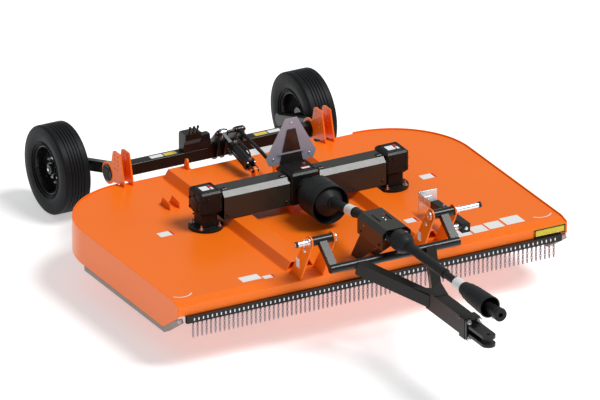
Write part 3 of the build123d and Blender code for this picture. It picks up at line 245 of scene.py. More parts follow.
def softened(name, edge, material, segments=2):
    """Copy of a CAD piece with its sharp edges rounded over; it stands for the node."""
    source = node[name]
    mesh = source.data.copy()
    piece = bpy.data.objects.new("soft_" + name, mesh)
    bpy.context.scene.collection.objects.link(piece)
    shape = bmesh.new()
    shape.from_mesh(mesh)
    bmesh.ops.remove_doubles(shape, verts=shape.verts, dist=0.00002)
    bmesh.ops.dissolve_limit(shape, angle_limit=0.01, verts=shape.verts, edges=shape.edges)
    shape.to_mesh(mesh)
    shape.free()
    for attribute in ("custom_normal", "sharp_edge"):
        if attribute in mesh.attributes:
            mesh.attributes.remove(mesh.attributes[attribute])
    bpy.ops.object.select_all(action="DESELECT")
    piece.select_set(True)
    bpy.context.view_layer.objects.active = piece
    bpy.ops.object.shade_smooth_by_angle(angle=math.radians(32))
    rounding = piece.modifiers.new("rounding", "BEVEL")
    rounding.width = edge
    rounding.segments = segments
    rounding.limit_method = "ANGLE"
    rounding.angle_limit = math.radians(40)
    rounding.harden_normals = True
    bpy.ops.object.modifier_apply(modifier="rounding")
    mesh.materials.clear()
    mesh.materials.append(material)
    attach(piece, source["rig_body"])
    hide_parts(name)
    return piece


orange = coated("orange_powder_coat", (0.98, 0.190, 0.008), 0.32, (0.92, 0.160, 0.005), scale=1.6,
                scratches=0.02, dust=0.02, coat=0.07)
for name, edge in (("deck_plate", 0.001), ("front_lip", 0.0015), ("side_skirt_left", 0.0025),
                   ("side_skirt_right", 0.0025), ("rear_skirt", 0.0015)):
    softened(name, edge, orange)

# ---- Skid shoes: bare steel bars under the side bands, worn and oiled, with
# many fine scratches.
oiled = coated("oiled_steel", (0.30, 0.27, 0.25), 0.42, (0.16, 0.14, 0.13), scale=18, metallic=0.9,
               scratches=0.4)
softened("skid_shoes", 0.003, oiled)

# ---- Deck frame: hat rails, bracket plates, the gearbox stand and small lugs,
# all cut from plate and welded to the deck before painting.
for name, edge in (("stiffeners", 0.0025), ("front_brackets", 0.002), ("centre_stand", 0.002),
                   ("deck_lugs", 0.0015), ("rear_brackets", 0.0015)):
    softened(name, edge, orange)


def weld_bead(name, start, stop, body, material, radius=0.004, ripple=0.010):
    """Rippled fillet weld laid along a straight seam."""
    start, stop = Vector(start), Vector(stop)
    length = (stop - start).length
    rings = max(4, int(length / (ripple / 2)))
    turn = (stop - start).to_track_quat("Z", "Y").to_matrix().to_4x4()
    shape = bmesh.new()
    loops = []
    for n in range(rings + 1):
        swell = radius * (1.15 if n % 2 else 0.92)
        if n in (0, rings):
            swell = radius * 0.35
        height = length * n / rings
        loops.append([
            shape.verts.new((swell * math.cos(a * math.tau / 6), swell * math.sin(a * math.tau / 6), height))
            for a in range(6)
        ])
    for lower, upper in zip(loops, loops[1:]):
        for a in range(6):
            b = (a + 1) % 6
            shape.faces.new((lower[a], lower[b], upper[b], upper[a]))
    shape.faces.new(loops[0][::-1])
    shape.faces.new(loops[-1])
    mesh = bpy.data.meshes.new(name)
    shape.to_mesh(mesh)
    shape.free()
    mesh.transform(Matrix.Translation(start) @ turn)
    mesh.materials.append(material)
    bead = bpy.data.objects.new(name, mesh)
    bpy.context.scene.collection.objects.link(bead)
    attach(bead, body)
    return bead


deck_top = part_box("deck_plate")[1].z
rail_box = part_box("stiffeners")
rail_foot = 0.230
seam_z = deck_top + 0.001
for side, word in ((-1, "right"), (1, "left")):
    for edge, outer in (("outer", rail_box[1].x), ("inner", rail_box[1].x - rail_foot)):
        x = side * outer
        weld_bead(f"rail_weld_{edge}_{word}", (x, rail_box[0].y + 0.01, seam_z),
                  (x, rail_box[1].y - 0.01, seam_z), "deck", orange, radius=0.0035, ripple=0.016)
bracket_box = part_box("front_brackets")
bracket_half = 0.006
inner_plate_x = 0.400
seam_start_y = -0.68
for side, word in ((-1, "right"), (1, "left")):
    for number, x in enumerate((inner_plate_x, bracket_box[1].x - bracket_half)):
        for face, place in ((-bracket_half, "in"), (bracket_half, "out")):
            weld_bead(f"bracket_weld_{word}_{number}_{place}", (side * x + face, seam_start_y, seam_z),
                      (side * x + face, bracket_box[1].y - 0.004, seam_z), "deck", orange, radius=0.005)

# ---- Front chain guard: a painted angle rail along the front lip, and a close row
# of zinc plated chains, each of seven welded links, with a plated hanger above
# each strand.
black = coated("black_powder_coat", (0.011, 0.010, 0.0095), 0.30, (0.006, 0.0055, 0.005), scratches=0.03,
               dust=0.04, coat=0.25, specular=0.2)
softened("chain_rail", 0.0012, black)
zinc = coated("zinc_chain", (0.50, 0.40, 0.44), 0.34, (0.32, 0.25, 0.28), scale=60, metallic=0.45)
bright = coated("plated_steel", (0.86, 0.86, 0.88), 0.28, (0.74, 0.74, 0.77), scale=20, metallic=1.0,
                scratches=0.06, dust=0.02, peel=0.01)


def joined(name, shape, body, material, smooth=32):
    """Turns a finished bmesh into one piece that rides on a body."""
    mesh = bpy.data.meshes.new(name)
    bmesh.ops.recalc_face_normals(shape, faces=shape.faces)
    shape.to_mesh(mesh)
    shape.free()
    piece = bpy.data.objects.new(name, mesh)
    bpy.context.scene.collection.objects.link(piece)
    bpy.ops.object.select_all(action="DESELECT")
    piece.select_set(True)
    bpy.context.view_layer.objects.active = piece
    bpy.ops.object.shade_smooth_by_angle(angle=math.radians(smooth))
    for one in material if isinstance(material, tuple) else (material,):
        mesh.materials.append(one)
    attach(piece, body)
    return piece


def add_link(shape, place, length, width, wire, facing, corners=14, sides=7):
    """One stadium-shaped chain link in the vertical plane, facing along x or y."""
    straight = (length - width) / 2
    bend = width / 2 - wire
    loops = []
    for n in range(corners):
        turn = math.tau * n / corners
        across, up = math.cos(turn), math.sin(turn)
        lift = straight if up > 0 else -straight
        loop = []
        for k in range(sides):
            swing = math.tau * k / sides
            out = bend + wire * math.cos(swing)
            side_step = wire * math.sin(swing)
            flat = (across * out, up * out + lift)
            if facing == "y":
                spot = (flat[0], side_step, flat[1])
            else:
                spot = (side_step, flat[0], flat[1])
            loop.append(shape.verts.new(Vector(spot) + place))
        loops.append(loop)
    for n in range(corners):
        here, there = loops[n], loops[(n + 1) % corners]
        for k in range(sides):
            shape.faces.new((here[k], here[(k + 1) % sides], there[(k + 1) % sides], there[k]))


chain_low, chain_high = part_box("front_chains")
link_count = 7
link_wire = 0.0034
link_width = 0.0200
chain_drop = chain_high.z - chain_low.z
link_length = (chain_drop + (link_count - 1) * 4 * link_wire) / link_count
chain_step = 0.036
strand_count = int(round((chain_high.x - chain_low.x) / chain_step)) + 1
chain_mid_y = (chain_low.y + chain_high.y) / 2
links = bmesh.new()
for strand in range(strand_count):
    strand_x = (strand - (strand_count - 1) / 2) * chain_step
    for n in range(link_count):
        link_z = chain_high.z - link_length / 2 - n * (link_length - 4 * link_wire)
        add_link(links, Vector((strand_x, chain_mid_y, link_z)), link_length, link_width, link_wire,
                 "x" if n % 2 == 0 else "y", corners=12, sides=6)
chains = joined("chain_links", links, node["front_chains"]["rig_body"], zinc, smooth=80)
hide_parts("front_chains")


def add_turned(shape, place, axis, profile, sides=32, slot=0, phase=0.0):
    """Closed turned solid: profile runs (radius, distance) along the axis, ends at the middle or open."""
    turn = Vector(axis).normalized().to_track_quat("Z", "Y").to_matrix()
    rings = []
    for radius, reach in profile:
        if radius <= 1e-6:
            rings.append([shape.verts.new(turn @ Vector((0, 0, reach)) + Vector(place))])
            continue
        rim = [Vector((radius * math.cos(phase + math.tau * a / sides),
                       radius * math.sin(phase + math.tau * a / sides), reach)) for a in range(sides)]
        rings.append([shape.verts.new(turn @ spot + Vector(place)) for spot in rim])
    closed = profile[0][0] > 1e-6 and profile[-1][0] > 1e-6
    pairs = list(zip(rings, rings[1:])) + ([(rings[-1], rings[0])] if closed else [])
    for lower, upper in pairs:
        for a in range(sides):
            b = (a + 1) % sides
            if len(lower) == 1 and len(upper) == 1:
                continue
            if len(lower) == 1:
                face = shape.faces.new((lower[0], upper[b], upper[a]))
            elif len(upper) == 1:
                face = shape.faces.new((lower[a], lower[b], upper[0]))
            else:
                face = shape.faces.new((lower[a], lower[b], upper[b], upper[a]))
            face.material_index = slot


rail_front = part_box("chain_rail")[0].y
hanger_z = 0.386
hangers = bmesh.new()
for strand in range(strand_count):
    strand_x = (strand - (strand_count - 1) / 2) * chain_step
    add_turned(hangers, (strand_x, rail_front - 0.0015, hanger_z), (0, 0, 1),
               ((0, 0), (0.0045, 0.002), (0.0055, 0.006), (0.0055, 0.018), (0.0045, 0.022), (0, 0.024)),
               sides=10)
joined("chain_hangers", hangers, node["chain_rail"]["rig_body"], bright)

# ---- Cutting gear under the deck: two spindles, dished pans and free-swinging
# blades with worn, polished cutting edges.
blade_steel = coated("blade_steel", (0.34, 0.33, 0.32), 0.38, (0.20, 0.19, 0.18), scale=14, metallic=0.9,
                     scratches=0.6)
for name in ("spindle_left", "spindle_right", "cross_shaft", "input_shaft"):
    softened(name, 0.0008, oiled, segments=1)
for name in ("blade_pan_left", "blade_pan_right"):
    softened(name, 0.002, black)
for name in ("blade_left_a", "blade_left_b", "blade_right_a", "blade_right_b"):
    softened(name, 0.0012, blade_steel)


def add_bolt(shape, place, axis, across, height=None, slot=0, stub=0.0, washer=True, phase=0.0):
    """Hexagon head or nut with a chamfered top, a washer and, if asked, a thread end."""
    corner = across / math.sqrt(3)
    height = height or across * 0.62
    base = 0.0
    if washer:
        washer_r, base = across * 0.66, across * 0.08
        add_turned(shape, place, axis, ((0, 0), (washer_r, 0), (washer_r, base), (0, base)),
                   sides=18, slot=slot)
    shoulder, top = base + height * 0.82, base + height
    add_turned(shape, place, axis,
               ((0, base), (corner, base), (corner, shoulder), (corner * 0.86, top), (0, top)),
               sides=6, slot=slot, phase=phase)
    if stub:
        thread, pitch = across * 0.30, 0.0025
        ridges = [(0, top - 0.001)]
        for n in range(max(2, int(stub / pitch))):
            ridges += [(thread, top + n * pitch), (thread * 0.87, top + (n + 0.5) * pitch)]
        ridges += [(thread * 0.8, top + stub), (0, top + stub)]
        add_turned(shape, place, axis, ridges, sides=12, slot=slot)


for side, word in ((1, "left"), (-1, "right")):
    pan_low, pan_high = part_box(f"blade_pan_{word}")
    spindle_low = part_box(f"spindle_{word}")[0]
    pan_mid = (pan_low + pan_high) / 2
    nuts = bmesh.new()
    add_bolt(nuts, (pan_mid.x, pan_mid.y, spindle_low.z), (0, 0, -1), 0.046, height=0.018)
    joined(f"pan_nut_{word}", nuts, node[f"blade_pan_{word}"]["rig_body"], bright)

# ---- Corner gearboxes: iron castings with a grainy painted skin, bolted to the deck
# through round flanges. Lids, plugs, caps and copper washers are added here.
cast = coated("painted_casting", (0.008, 0.008, 0.008), 0.42, (0.004, 0.004, 0.004), scale=18, peel=0.35,
              dust=0.04, coat=0.08, specular=0.2)
# Glossy black paint for lids, covers and the shaft guard. Its lighter, olive base colour is painted reflection
# of the surroundings laid over real black paint.
black_paint_painted_sheen = coated("black_paint_painted_olive_sheen", (0.030, 0.029, 0.023), 0.34, (0.022, 0.021, 0.017), scale=9,
                   dust=0.04, coat=0.35, specular=0.2)
copper = coated("copper_washer", (0.80, 0.36, 0.22), 0.30, (0.66, 0.28, 0.16), scale=40, metallic=1.0)
white_film = coated("white_film", (0.86, 0.87, 0.85), 0.38, (0.78, 0.79, 0.78), scale=8, scratches=0.05,
                    dust=0.05)
red_film = coated("red_film", (0.72, 0.03, 0.03), 0.38, (0.60, 0.02, 0.02), scale=8, scratches=0.05,
                  dust=0.05)
for name in ("gearbox_left_case", "gearbox_right_case", "gearbox_centre_case"):
    softened(name, 0.004, cast, segments=3)
softened("gearbox_bolts", 0.0008, bright)


def add_block(shape, low, high, slot=0, chamfer=0.0):
    """Box between two corners, with its top edges drawn in when a chamfer is given."""
    low, high = Vector(low), Vector(high)
    rows = [(low.z, 0.0), (high.z - chamfer, 0.0)] + ([(high.z, chamfer)] if chamfer else [])
    rings = []
    for z, inset in rows:
        rings.append([shape.verts.new((x, y, z)) for x, y in (
            (low.x + inset, low.y + inset), (high.x - inset, low.y + inset),
            (high.x - inset, high.y - inset), (low.x + inset, high.y - inset))])
    faces = [shape.faces.new(rings[0][::-1]), shape.faces.new(rings[-1])]
    for lower, upper in zip(rings, rings[1:]):
        for a in range(4):
            b = (a + 1) % 4
            faces.append(shape.faces.new((lower[a], lower[b], upper[b], upper[a])))
    for face in faces:
        face.material_index = slot


flange_reach = 0.103
line_z = 0.708
case_half = 0.095
cap_ring = 0.070
lid_rise = 0.0030
film_rise = 0.0006
for side, word in ((1, "left"), (-1, "right")):
    case_low, case_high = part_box(f"gearbox_{word}_case")
    mid = (case_low + case_high) / 2
    top = case_high.z
    trim = bmesh.new()
    lid = top + lid_rise
    add_block(trim, (mid.x - 0.072, mid.y - 0.070, top - 0.001), (mid.x + 0.072, mid.y + 0.070, lid),
              slot=0, chamfer=0.001)
    for x, y in ((-0.062, -0.060), (0.062, -0.060), (-0.062, 0.060), (0.062, 0.060)):
        add_bolt(trim, (mid.x + x, mid.y + y, lid - 0.0003), (0, 0, 1), 0.012, height=0.005, slot=0)
    for near_x, near_y, far_x, far_y, slot in (
        (-0.046, -0.040, 0.016, 0.030, 3), (0.026, -0.042, 0.046, -0.006, 3), (0.026, -0.006, 0.046, 0.036, 4),
    ):
        add_block(trim, (mid.x + near_x, mid.y + near_y, lid), (mid.x + far_x, mid.y + far_y, lid + film_rise),
                  slot=slot)
    face_y = mid.y - case_half
    for x, z in ((-0.070, -0.045), (0.070, -0.045), (-0.070, -0.125), (0.070, -0.125)):
        add_bolt(trim, (mid.x + x, face_y + 0.001, top + z), (0, -1, 0), 0.013, height=0.006, slot=0)
    add_bolt(trim, (mid.x - 0.030, face_y + 0.001, top - 0.050), (0, -1, 0), 0.017, height=0.008, slot=0)
    outer = mid.x + side * case_half
    add_turned(trim, (outer - side * 0.001, mid.y, line_z), (side, 0, 0),
               ((0, 0), (0.056, 0), (0.056, 0.004), (0.050, 0.007), (0, 0.007)), slot=0, sides=40)
    for a in range(6):
        turn = math.tau * (a + 0.5) / 6
        spot = (outer + side * 0.002, mid.y + cap_ring * math.cos(turn), line_z + cap_ring * math.sin(turn))
        add_bolt(trim, spot, (side, 0, 0), 0.012, height=0.006)
    for a in range(4):
        turn = math.radians(45 + 90 * a)
        spot = (mid.x + flange_reach * math.cos(turn), mid.y + flange_reach * math.sin(turn), 0.5331)
        add_turned(trim, spot, (0, 0, 1), ((0.0125, 0), (0.021, 0), (0.021, 0.004), (0.0125, 0.004)),
                   slot=2, sides=24)
        add_turned(trim, (spot[0], spot[1], 0.5479), (0, 0, 1),
                   ((0, 0), (0.006, 0), (0.006, 0.016), (0.005, 0.018), (0, 0.018)), slot=2, sides=16)
    joined(f"gearbox_trim_{word}", trim, "deck", (cast, black_paint_painted_sheen, copper, white_film, red_film))

# ---- Centre gearbox and cross-shaft covers: a wider casting with a bolted lid, and
# two folded sheet covers over the shafts that run out to the corner boxes.
case_low, case_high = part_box("gearbox_centre_case")
mid = (case_low + case_high) / 2
top = case_high.z
trim = bmesh.new()
lid = top + lid_rise
lid_x, lid_y = 0.095, 0.085
add_block(trim, (mid.x - lid_x, mid.y - lid_y, top - 0.001), (mid.x + lid_x, mid.y + lid_y, lid), slot=0,
          chamfer=0.001)
for x in (-0.080, 0.0, 0.080):
    for y in (-0.072, 0.072):
        add_bolt(trim, (mid.x + x, mid.y + y, lid - 0.0003), (0, 0, 1), 0.014, height=0.006, slot=0)
add_block(trim, (mid.x + 0.002, mid.y - 0.052, lid), (mid.x + 0.066, mid.y - 0.030, lid + film_rise), slot=3)
add_block(trim, (mid.x + 0.002, mid.y - 0.030, lid), (mid.x + 0.066, mid.y - 0.020, lid + film_rise), slot=4)
add_bolt(trim, (mid.x + 0.05, mid.y + 0.02, lid - 0.0003), (0, 0, 1), 0.018, height=0.010, slot=2)
for side in (-1, 1):
    for y in (-0.080, 0.080):
        for z in (0.62, 0.76):
            add_bolt(trim, (mid.x + side * 0.1195, mid.y + y, z), (side, 0, 0), 0.014, height=0.002, slot=0,
                     washer=False)
joined("gearbox_trim_centre", trim, "deck", (cast, black_paint_painted_sheen, copper, white_film, red_film))
softened("cross_covers", 0.003, black_paint_painted_sheen)
cover_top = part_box("cross_covers")[1].z
trim = bmesh.new()
for side in (-1, 1):
    for reach in (0.155, 0.628):
        for face in (-1, 1):
            y = mid.y + face * 0.100
            add_bolt(trim, (side * reach, y - face * 0.0005, 0.620), (0, face, 0), 0.016, height=0.007)
        add_block(trim, (side * reach - 0.020, mid.y - 0.050, cover_top - 0.001),
                  (side * reach + 0.020, mid.y - 0.018, cover_top + 0.009), chamfer=0.003)
        add_bolt(trim, (side * reach, mid.y - 0.034, cover_top + 0.008), (0, 0, 1), 0.016, height=0.008)
joined("cover_trim", trim, "deck", black)

# ---- Input bell: a moulded black plastic guard over the first joint, with three
# raised rims and a ring of small screws at its neck.
plastic = coated("black_guard_plastic", (0.014, 0.016, 0.017), 0.46, (0.009, 0.010, 0.011), scale=30,
                 peel=0.12, dust=0.05, specular=0.2)
white_sleeve = coated("white_sleeve", (0.80, 0.80, 0.79), 0.40, (0.68, 0.68, 0.67), scale=12, scratches=0.1,
                      dust=0.1)
pink_plug = coated("pink_plug", (0.75, 0.06, 0.30), 0.35, (0.65, 0.04, 0.24), scale=30)
softened("input_bell", 0.0015, plastic)
bell_low, bell_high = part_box("input_bell")
bell_r = (bell_high.x - bell_low.x) / 2
trim = bmesh.new()
for reach, tall in ((bell_low.y + 0.004, 0.003), (bell_low.y + 0.075, 0.0018), (bell_high.y - 0.160, 0.0018)):
    add_turned(trim, (0, reach, line_z), (0, 1, 0),
               ((bell_r - 0.001, -0.004), (bell_r + tall, -0.003), (bell_r + tall, 0.003),
                (bell_r - 0.001, 0.004)), sides=64)
screw_x, screw_z = 0.07176, 0.0718
for a in range(12):
    turn = math.tau * a / 12
    spot = (screw_x * math.cos(turn), bell_high.y - 0.014, line_z + screw_z * math.sin(turn))
    add_bolt(trim, spot, (math.cos(turn), 0, math.sin(turn)), 0.010, height=0.005, washer=False)
joined("bell_trim", trim, node["input_bell"]["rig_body"], plastic)

# ---- Tilted rear shaft: an oiled steel shaft inside a black plastic tube with a
# cone at its lower end. The tube carries ribs and a blank white sleeve.
gear_joint = Vector((0, 0.113, line_z))
jack_joint = Vector((0, -0.687, 0.843))
slope = (jack_joint - gear_joint).normalized()
softened("rear_shaft", 0.001, oiled, segments=1)
softened("rear_shaft_guard", 0.0015, plastic)
trim = bmesh.new()
add_turned(trim, gear_joint + slope * 0.434, slope,
           ((0.0398, 0), (0.0409, 0.001), (0.0409, 0.101), (0.0398, 0.102)), slot=1, sides=40)
for reach in (0.020, 0.035, 0.050, 0.065):
    add_turned(trim, gear_joint + slope * reach, slope, ((0.0975, -0.003), (0.0995, 0), (0.0975, 0.003)),
               sides=48)
for reach in (0.112, 0.128, 0.144, 0.160):
    add_turned(trim, gear_joint + slope * reach, slope, ((0.0455, -0.003), (0.0490, 0), (0.0455, 0.003)),
               sides=36)
for reach in (0.184, 0.420, 0.550, 0.700):
    add_turned(trim, gear_joint + slope * reach, slope, ((0.0335, -0.004), (0.0375, -0.002), (0.0375, 0.002),
                                                         (0.0335, 0.004)), sides=36)
joined("rear_guard_trim", trim, node["rear_shaft_guard"]["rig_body"], (plastic, white_sleeve))

# ---- Jack shaft: a short shaft on a welded stand under a folded sheet cover. A
# flanged bearing is bolted to the stand's front face.
softened("carrier_stand", 0.0015, black)
softened("carrier_shaft", 0.001, oiled, segments=1)
softened("joint_cross", 0.001, bright, segments=1)
softened("shaft_guard", 0.0012, black_paint_painted_sheen)
guard_low, guard_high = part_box("shaft_guard")
trim = bmesh.new()
for y in (guard_low.y + 0.165, guard_low.y + 0.205):
    add_bolt(trim, (0, y, guard_high.z - 0.0005), (0, 0, 1), 0.011, height=0.005, slot=1)
for side in (-1, 1):
    for y in (guard_low.y + 0.05, guard_high.y - 0.05):
        add_bolt(trim, (side * (guard_high.x - 0.0003), y, 0.79), (side, 0, 0), 0.014, height=0.006, slot=0)
joined("guard_trim", trim, node["shaft_guard"]["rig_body"], (black, bright))
trim = bmesh.new()
shaft_z = 0.843
bearing_y = -0.926
bolt_ring = 0.056
add_turned(trim, (0, bearing_y, shaft_z), (0, -1, 0),
           ((0.0235, 0), (0.066, 0), (0.066, 0.010), (0.058, 0.014), (0.052, 0.030), (0.034, 0.036),
            (0.0235, 0.036)), sides=40)
for a in range(4):
    turn = math.tau * (a + 0.5) / 4
    spot = (bolt_ring * math.cos(turn), bearing_y - 0.010, shaft_z + bolt_ring * math.sin(turn))
    add_bolt(trim, spot, (0, -1, 0), 0.011, height=0.005, slot=1)
joined("bearing_flange", trim, node["carrier_stand"]["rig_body"], (cast, bright))

# ---- Front driveline to the tractor: telescoping guard tubes with ribbed bells, a
# white sleeve left blank, and the cast yoke with its collar rings and spline bars.
joint_y = -1.107
softened("front_guard_outer", 0.0015, plastic)
softened("front_guard_inner", 0.0015, plastic)
softened("front_shaft", 0.0012, cast)
outer_body = node["front_guard_outer"]["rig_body"]
inner_body = node["front_guard_inner"]["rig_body"]
trim = bmesh.new()
for reach in (-0.040, -0.024, -0.008, 0.008, 0.024):
    add_turned(trim, (0, joint_y - reach, shaft_z), (0, -1, 0),
               ((0.0755, -0.003), (0.0785, 0), (0.0755, 0.003)), sides=48)
for reach in (0.110, 0.122, 0.134):
    add_turned(trim, (0, joint_y - reach, shaft_z), (0, -1, 0),
               ((0.0345, -0.004), (0.0395, -0.002), (0.0395, 0.002), (0.0345, 0.004)), sides=36)
add_turned(trim, (0, joint_y - 0.632, shaft_z), (0, -1, 0),
           ((0.0345, -0.006), (0.0375, -0.004), (0.0375, 0.004), (0.0345, 0.006)), sides=36)
add_turned(trim, (0.030, joint_y - 0.004, shaft_z + 0.066), (0.35, 0, 1),
           ((0, 0), (0.012, 0), (0.012, 0.0060), (0, 0.0065)), slot=1, sides=20)
joined("outer_guard_trim", trim, outer_body, (plastic, pink_plug))


def bell_radius(reach):
    """Outside radius of the front bell: a steep start, then a gentle flare."""
    if reach > 1.02:
        return 0.066 + 0.012 * (reach - 1.02) / 0.26
    return 0.060 + 0.0198 * (reach - 0.970) / 0.30


trim = bmesh.new()
add_turned(trim, (0, joint_y - 0.803, shaft_z), (0, -1, 0),
           ((0.0408, 0), (0.0419, 0.001), (0.0419, 0.101), (0.0408, 0.102)), slot=1, sides=40)
for n in range(9):
    reach = 0.985 + n * 0.030
    foot, crest = bell_radius(reach) - 0.0015, bell_radius(reach) + 0.0022
    add_turned(trim, (0, joint_y - reach, shaft_z), (0, -1, 0),
               ((foot, -0.005), (crest, -0.002), (crest, 0.002), (foot, 0.005)), sides=48)
add_turned(trim, (0, joint_y - 1.277, shaft_z), (0, -1, 0),
           ((0.0725, -0.003), (0.0810, -0.003), (0.0810, 0.004), (0.0725, 0.004)), sides=48)
joined("inner_guard_trim", trim, inner_body, (plastic, white_sleeve))
trim = bmesh.new()
hook_y = joint_y - 1.440
button_r = 0.047
for a in range(2):
    turn = math.pi * a + 0.5
    spot = Vector((button_r * math.cos(turn), hook_y + 0.030, shaft_z + button_r * math.sin(turn)))
    add_turned(trim, spot, (math.cos(turn), 0, math.sin(turn)),
               ((0, -0.004), (0.010, -0.004), (0.0125, 0.003), (0.009, 0.010), (0, 0.0125)), slot=1,
               sides=20)
for reach in (0.050, 0.085, 0.110):
    add_turned(trim, (0, hook_y + reach, shaft_z), (0, 1, 0),
               ((0.0335, 0), (0.0385, 0.001), (0.0385, 0.010), (0.0335, 0.011)), slot=0, sides=40)
spline_r = 0.0168
for a in range(6):
    turn = math.tau * a / 6
    spline = Vector((spline_r * math.cos(turn), hook_y + 0.002, shaft_z + spline_r * math.sin(turn)))
    add_turned(trim, spline, (0, 1, 0), ((0, 0), (0.0026, 0), (0.0026, 0.080), (0, 0.080)), slot=0, sides=6)
joined("hook_trim", trim, node["front_shaft"]["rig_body"], (cast, bright))

# ---- Tongue: plated pivot pins with black caps and collars, the crank with its cross
# tube, and two painted arms that run into the box beam.
softened("pivot_pins", 0.0012, bright)
tongue_paint = coated("tongue_paint", (0.015, 0.015, 0.012), 0.34, (0.010, 0.010, 0.008), scale=9,
                      dust=0.03, coat=0.12, specular=0.15)
softened("tongue_crank", 0.002, black)
softened("tongue_arms", 0.004, tongue_paint)
softened("tongue_beam", 0.003, tongue_paint)
pivot_y, pivot_z = -0.807, 0.843
pin_low, pin_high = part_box("pivot_pins")
trim = bmesh.new()
for side, end in ((-1, pin_low.x), (1, pin_high.x)):
    add_turned(trim, (end - side * 0.022, pivot_y, pivot_z), (side, 0, 0),
               ((0.0188, 0), (0.0215, 0.001), (0.0215, 0.0205), (0.018, 0.0218), (0, 0.0218)), slot=0,
               sides=28)
    for x in (0.5925, 0.3815):
        add_turned(trim, (side * x, pivot_y, pivot_z), (1, 0, 0),
                   ((0.0188, -0.0025), (0.034, -0.0025), (0.034, 0.0025), (0.0188, 0.0025)), slot=1,
                   sides=32)
    add_turned(trim, (side * 0.625, pivot_y, pivot_z - 0.030), (0, 0, 1),
               ((0, 0), (0.0038, 0), (0.0038, 0.060), (0, 0.060)), slot=1, sides=12)
joined("pin_trim", trim, node["pivot_pins"]["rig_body"], (plastic, bright))
trim = bmesh.new()
for side in (-1, 1):
    for x, face in ((inner_plate_x, -1), (0.580, 1)):
        add_turned(trim, (side * (x + face * 0.0055), pivot_y + 0.062, pivot_z - 0.090), (side * face, 0, 0),
                   ((0, 0), (0.017, 0), (0.017, 0.004), (0.012, 0.010), (0, 0.013)), slot=1, sides=24)
joined("bracket_studs", trim, "deck", (black, bright))

# ---- Beam end: four large bolts hold the swivel clevis, and the end block is bolted
# and welded into the box beam.
softened("hitch_clevis", 0.002, black)
beam_mid_z = 0.583
trim = bmesh.new()
for x in (-0.040, 0.040):
    for z in (-0.060, 0.060):
        add_bolt(trim, (x, -2.1641, beam_mid_z + z), (0, -1, 0), 0.0270, height=0.0150, stub=0.012)
joined("clevis_bolts", trim, node["hitch_clevis"]["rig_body"], bright)
trim = bmesh.new()
for x in (-0.055, 0.055):
    for z in (-0.060, 0.060):
        add_bolt(trim, (x, -2.0665, beam_mid_z + z), (0, 1, 0), 0.018, height=0.010, slot=0)
joined("block_bolts", trim, node["tongue_beam"]["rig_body"], bright)
beam_body = node["tongue_beam"]["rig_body"]
crank_body = node["tongue_crank"]["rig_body"]
for side, word in ((-1, "right"), (1, "left")):
    seam_x = side * 0.051
    weld_bead(f"arm_weld_{word}", (seam_x, -1.690, beam_mid_z + 0.0705),
              (seam_x, -1.560, beam_mid_z + 0.0705), beam_body, tongue_paint)
    weld_bead(f"block_weld_{word}", (seam_x, -2.0565, beam_mid_z - 0.068),
              (seam_x, -2.0565, beam_mid_z + 0.068), beam_body, tongue_paint)
    for step, place in ((-0.031, "in"), (0.031, "out")):
        seam_x = side * 0.490 + step
        weld_bead(f"crank_weld_{word}_{place}", (seam_x, -0.985, 0.727), (seam_x, -0.960, 0.742),
                  crank_body, black, radius=0.005)

# ---- Axle tube and arms: square steel tubes painted black, with a bolt head on two
# of the tube's collars and plastic plugs over its ends.
softened("rock_shaft", 0.003, black)
softened("wheel_arms", 0.003, black)
rock_y, rock_z = 1.563, 0.533
trim = bmesh.new()
for x in (-0.905, 0.735):
    add_bolt(trim, (x, rock_y, rock_z + 0.0635), (0, 0, 1), 0.013, height=0.010, slot=1, washer=False)
plug_half = 0.040
for side in (-1, 1):
    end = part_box("rock_shaft")[0 if side < 0 else 1].x
    add_block(trim, (end - 0.003, rock_y - plug_half, rock_z - plug_half),
              (end + 0.003, rock_y + plug_half, rock_z + plug_half), slot=2)
joined("axle_trim", trim, node["rock_shaft"]["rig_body"], (black, bright, plastic))

